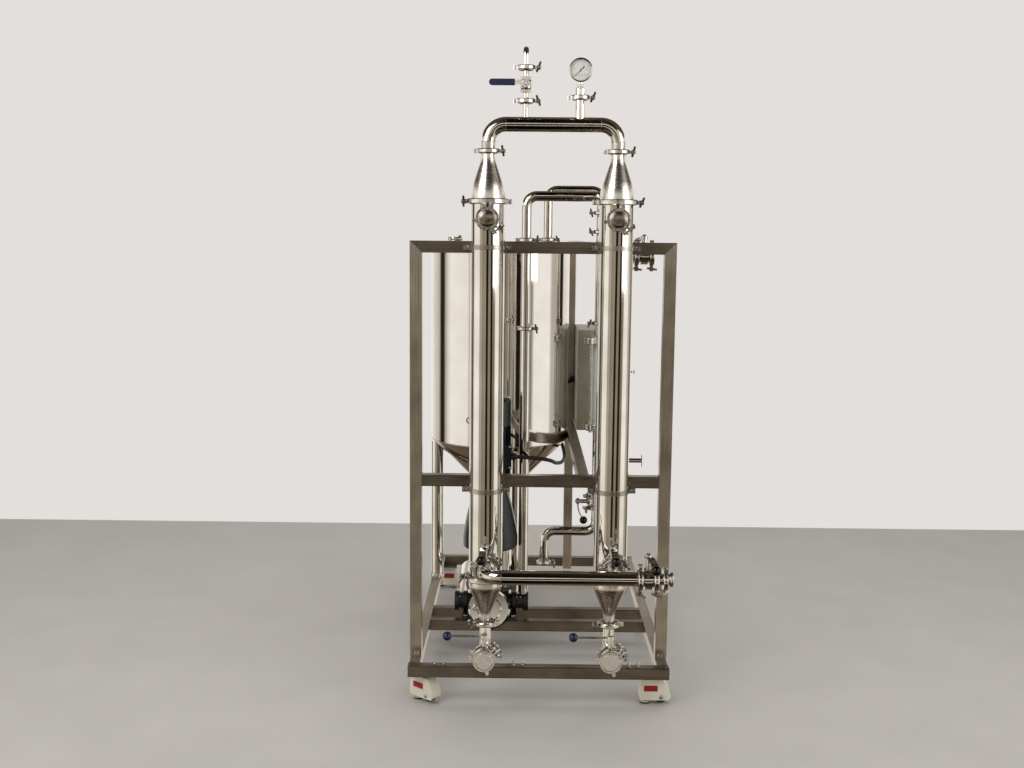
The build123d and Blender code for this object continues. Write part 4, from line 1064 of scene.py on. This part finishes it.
class UNIT_OT_pump_fittings(bpy.types.Operator):
    """Adds bolts, plugs, the fan grille and cable glands to the pump and its motor"""

    bl_idname = "unit.pump_fittings"
    bl_label = "Pump fittings"

    def execute(self, context):
        x, y = PUMP
        cover = Shape()
        for k in range(6):
            dx, dz = polar(62, 30 + 60 * k)
            hex_nut(cover, placed(at(x + dx, 487, PUMP_AXIS_Z + dz), -Y), 10, 5.5)
        plug = placed(at(x - 52, 481, 196), -Y)
        cover.turn([(12, 0), (12, 3), (9.5, 4.5), (9.5, 9), (8.5, 10)], plug, 28)
        hex_nut(cover, plug @ up(10), 9, 4)
        cover.piece("cover_bolts", "turned_body", "frame", "polished_stainless", 0.2)
        # Nuts of the tie bolts, and of the flanges on both ports
        rods = Shape()
        for k in range(4):
            dx, dy = polar(83, 45 + 90 * k)
            hex_nut(rods, placed(at(x + dx, y + dy, 262.2)), 16, 8)
        for flange in (-302.0, -80.0):
            for k in range(4):
                dy, dz = polar(33, 45 + 90 * k)
                for face, out in ((flange, X), (flange + 20, -X)):
                    hex_nut(rods, placed(at(face, y + dy, PUMP_AXIS_Z + dz), out), 8, 6)
        rods.piece("pump_nuts", "zinc_plate", "frame", "plate_zinc", 0)
        grille = Shape()
        for k in range(28):
            rib = placed(at(x, y, 1000.1)) @ spun(360 * k / 28) @ shift(38, 0, 0)
            grille.block((26, 2.6, 0.5), rib)
        grille.piece("fan_grille", "black_casting", "frame", "pump_black", 0)
        # Lifting eye, and the screws of the terminal box
        eye = Shape()
        eye.hoop([(8, -3), (13, -3), (13, 3), (8, 3)], facing(at(x - 84, y, 905), Y, X), 24)
        eye.turn([(6, 0), (6, 6)], placed(at(x - 72, y, 905), -X), 16)
        for dx in (-22, 22):
            for dz in (-40, 40):
                screw = placed(at(-131 + dx, 499.8, 778 + dz), -Y)
                eye.turn([(4.2, 0), (4.2, 1.6), (3.2, 2.4)], screw, 16)
        eye.piece("motor_eye_and_screws", "zinc_plate", "frame", "plate_zinc", 0.4)
        glands = Shape()
        for end, out in ((CABLE_ROUTE[0], X), (CABLE_ROUTE[-1], -X)):
            place = placed(at(*end), out)
            hex_nut(glands, place, 24, 6)
            glands.turn([(10.5, 0), (11, 8), (9, 14), (8.2, 16)], place @ up(6), 24)
        glands.piece("cable_glands", "black_nylon", "frame", "cable_black", 0.3)
        return {"FINISHED"}


# Cabinet door: its outer and inner face and its middle, and the height of the key's lock
DOOR_FACE, DOOR_BACK, DOOR_Y, KEY_Z = 388, 370, 1240, 1025


class UNIT_OT_cabinet_fittings(bpy.types.Operator):
    """Adds the cabinet's door seal, hinges, latches and key"""

    bl_idname = "unit.cabinet_fittings"
    bl_label = "Cabinet fittings"

    def execute(self, context):
        seal = Shape()
        for z in (790.3, 1219.7):
            seal.block((1.6, 312, 0.8), placed(at(DOOR_BACK, DOOR_Y + 4, z)))
        for y in (1084.3, 1403.7):
            seal.block((1.6, 0.8, 424), placed(at(DOOR_BACK, y, 1005)))
        seal.piece("door_seal", "cable_rubber", "frame", "cable_black", 0)
        metalwork = Shape()
        for z in (879, KEY_Z):
            lock = placed(at(DOOR_FACE, DOOR_Y, z), X)
            metalwork.turn([(13, 0), (13, 3), (11.5, 4.5), (8, 5), (8, 3.6)], lock, 32)
        metalwork.turn([(4, 0), (4, 26)], placed(at(DOOR_FACE + 3, DOOR_Y, KEY_Z), X), 16)
        metalwork.block((3, 26, 16), placed(at(DOOR_FACE + 36, DOOR_Y, KEY_Z)))
        # Hinges: a barrel and a leaf each
        for z in (860, 1150):
            metalwork.turn([(5, 0), (5, 46)], placed(at(374, 1408.5, z - 23)), 16)
            metalwork.block((26, 3, 40), placed(at(372, 1405.4, z)))
        metalwork.piece("door_latches", "zinc_plate", "frame", "plate_zinc", 0.4)
        return {"FINISHED"}


class UNIT_OT_meter_fittings(bpy.types.Operator):
    """Adds the flow meter's float, scale, seals and rod nuts"""

    bl_idname = "unit.meter_fittings"
    bl_label = "Meter fittings"

    def execute(self, context):
        x, y = FLOW
        guide = Shape()
        guide.turn([(1.8, 0), (1.8, 333)], placed(at(x, y, 835)), 12)
        guide.turn([(5, 0), (15, 14), (15, 20), (11, 26), (4, 30)], placed(at(x, y, 838)), 32)
        guide.piece("meter_float", "turned_body", "frame", "valve_stainless", 0.3)
        # Marks on the tube, bent to it, every fifth a wide one
        scale = Shape()
        for k in range(26):
            width = 12 if k % 5 == 0 else 7
            turns = [-90 + (j - 3) * width / 6 for j in range(7)]
            outline = [polar(27.15, t) for t in turns] + [polar(27.35, t) for t in turns[::-1]]
            scale.slab(outline, 1.0, placed(at(x, y, 860 + 11 * k)))
        scale.piece("meter_scale", "dial_print", "frame", "meter_clear", 0)
        nuts = Shape()
        for k in range(4):
            dx, dy = polar(44, 45 + 90 * k)
            hex_nut(nuts, placed(at(x + dx, y + dy, 1196)), 13, 7)
            hex_nut(nuts, placed(at(x + dx, y + dy, 807), -Z), 13, 7)
        nuts.piece("meter_nuts", "zinc_plate", "frame", "plate_zinc", 0)
        seals = Shape()
        for z in (836, 1167):
            seals.hoop([(27.1, -1.4), (30, -1.4), (30, 1.4), (27.1, 1.4)],
                       placed(at(x, y, z)), 40)
        seals.piece("meter_seals", "silicone", "frame", "meter_clear", 0.3)
        return {"FINISHED"}


class UNIT_OT_caster_fittings(bpy.types.Operator):
    """Adds the red thumbwheels, foot pads, axle caps and hubs of the casters"""

    bl_idname = "unit.caster_fittings"
    bl_label = "Caster fittings"

    def execute(self, context):
        for corner, (x, y, turn) in CASTERS.items():
            place = Matrix.Translation(at(x, y, 0)) @ spun(turn)
            body = f"caster_{corner}"
            # Ribbed rims of the thumbwheel, on both sides of the housing
            wheel = Shape()
            for side in (-1, 1):
                for k in range(15):
                    wheel.block((2.2, 4.6, 19), place @ shift(-28 + k * 3, side * 18.2, 58))
                wheel.block((46, 1.6, 20), place @ shift(-7, side * 17, 58))
            wheel.piece(f"{corner}_thumbwheel", "red_nylon", body, "caster_ivory", 0.4)
            caps = Shape()
            for side in (-1, 1):
                axle = shift(AXLE_X, side * 21.8, AXLE_Z) @ placed((0, 0, 0), Y * side)
                caps.turn([(7.5, 0), (7.5, 1), (6, 2), (2.5, 2.2)], place @ axle, 24)
            caps.piece(f"{corner}_axle_caps", "zinc_plate", body, "caster_ivory", 0.2)
            pad = Shape()
            pad.hoop([(16.8, 0.2), (17.4, 0.6), (17.4, 6), (16.8, 6.6)],
                     place @ shift(FOOT_X, 0, 0), 36)
            pad.piece(f"{corner}_foot_pad", "cable_rubber", body, "caster_ivory", 0)
            # Hub on both sides of the wheel, with six webs
            hub = Shape()
            for side in (-1, 1):
                axle = shift(AXLE_X, side * 9.0, AXLE_Z) @ placed((0, 0, 0), Y * side)
                hub.hoop([(6, 0), (13, 0), (12.4, 1.2), (6.6, 1.2)], place @ axle, 32)
                for k in range(6):
                    hub.block((6.5, 1.6, 1.2), place @ axle @ spun(60 * k) @ shift(16.5, 0, 0.4))
            hub.piece(f"{corner}_hub", "black_nylon", f"wheel_{corner}", "wheel_black", 0.2)
        return {"FINISHED"}


def bead(shape, centre, along, r):
    """A weld bead round a pipe, 3 mm wide and 0.7 mm proud."""
    shape.hoop([(r - 0.8, -1.5), (r + 0.7, -0.5), (r + 0.7, 0.5), (r - 0.8, 1.5)],
               placed(at(*centre), along), 48)


def ferrule_welds(clamps):
    """Heights of the welds below and above each clamp."""
    return [z + step for z in clamps for step in (-FERRULE, FERRULE)]


class UNIT_OT_welds(bpy.types.Operator):
    """Adds the weld beads of the pipework and the ground welds of the frame's corners"""

    bl_idname = "unit.welds"
    bl_label = "Welds"

    def execute(self, context):
        pipes = Shape()
        for x in COLUMN_X:
            for r, heights in (
                (COLUMN_R, (456.5, 1717, 1726.5, 447.5)),
                (PIPE_R, (1856, *ferrule_welds([TOP_CLAMP]), 1915)),
                (SLIM_PIPE_R, (*ferrule_welds([FOOT_CLAMP]), 233)),
            ):
                for z in heights:
                    bead(pipes, (x, COLUMN_Y, z), Z, r)
            bead(pipes, (x, COLUMN_Y - 60.5, PORT_Z), Y, PIPE_R)
            bead(pipes, (x, COLUMN_Y - 60, CAP_Z), Y, SLIM_PIPE_R)
            bead(pipes, (x, -108, PORT_Z), Y, PIPE_R)
            bead(pipes, (x, -32, DRAIN_Z), Y, SLIM_PIPE_R)
        for x in (-128, 183):
            bead(pipes, (x, COLUMN_Y, 1972), X, PIPE_R)
        for x in (-128, 313):
            bead(pipes, (x, HEADER_Y, PORT_Z), X, PIPE_R)
        for line, r, heights in (
            (RISER, SLIM_PIPE_R, (230, *ferrule_welds(RISER_CLAMPS), 1722)),
            (FLOW, SLIM_PIPE_R, (*ferrule_welds(FLOW_CLAMPS), 1760, 420, 660, 694)),
            (RETURN, SLIM_PIPE_R, (RETURN_CLAMP + FERRULE, 1760, 325, 245)),
            (TANK, OUTLET_R, (432, 250)),
        ):
            for z in heights:
                bead(pipes, (*line, z), Z, r)
        pipes.piece("pipe_welds", "weld_bead", "frame", "polished_stainless", 0)
        # Ground welds: a mitre at the portal's upper corners, beads at the rail and the foot
        corners = Shape()
        for side in (-1, 1):
            for y, out in ((PORTAL_Y, -Y), (PORTAL_Y + TUBE, Y)):
                mitre = facing(at(side * (HALF - TUBE / 2), y, TOP_RAIL_Z), out,
                               Vector((side, 0, 1)))
                corners.block((56, 2.4, 0.5), mitre)
            for y in (PORTAL_Y, PORTAL_Y + TUBE):
                for z in (750, 790):
                    corners.block((2.0, 0.5, 1.0), placed(at(side * (HALF - TUBE), y, z)))
            corners.hoop([(0.2, 0.1), (1.6, 0.1), (0.2, 1.5)],
                         placed(at(side * (HALF - TUBE / 2), PORTAL_Y, BASE_TOP + 0.1)), 4)
        corners.piece("frame_welds", "weld_bead", "frame", "brushed_stainless", 0)
        return {"FINISHED"}


class UNIT_PT_panel(bpy.types.Panel):
    """Lists the unit's pieces and their sizes"""

    bl_idname = "UNIT_PT_panel"
    bl_label = "Filtration unit"
    bl_space_type = "VIEW_3D"
    bl_region_type = "UI"
    bl_category = "Filtration"

    def draw(self, context):
        column = self.layout.column()
        for name in UnitSizes.__annotations__:
            column.prop(context.scene.unit_sizes, name)
        for operator in OPERATORS:
            column.operator(operator.bl_idname)


OPERATORS = (
    UNIT_OT_finishes, UNIT_OT_clamp_bolts, UNIT_OT_blanks, UNIT_OT_frame_bolts,
    UNIT_OT_gauge_face, UNIT_OT_grips, UNIT_OT_tank_fittings, UNIT_OT_pump_fittings,
    UNIT_OT_cabinet_fittings, UNIT_OT_meter_fittings, UNIT_OT_caster_fittings,
    UNIT_OT_welds, UNIT_OT_cable, UNIT_OT_stage,
)
CLASSES = (UnitSizes, *OPERATORS, UNIT_PT_panel)


def register():
    """Registers the sizes, the operators and the panel."""
    for item in CLASSES:
        bpy.utils.register_class(item)
    bpy.types.Scene.unit_sizes = PointerProperty(type=UnitSizes)


def unregister():
    """Takes them away again."""
    del bpy.types.Scene.unit_sizes
    for item in reversed(CLASSES):
        bpy.utils.unregister_class(item)


def main():
    """Builds everything in order."""
    register()
    for operator in OPERATORS:
        family, name = operator.bl_idname.split(".")
        getattr(getattr(bpy.ops, family), name)()


if __name__ == "__main__":
    main()
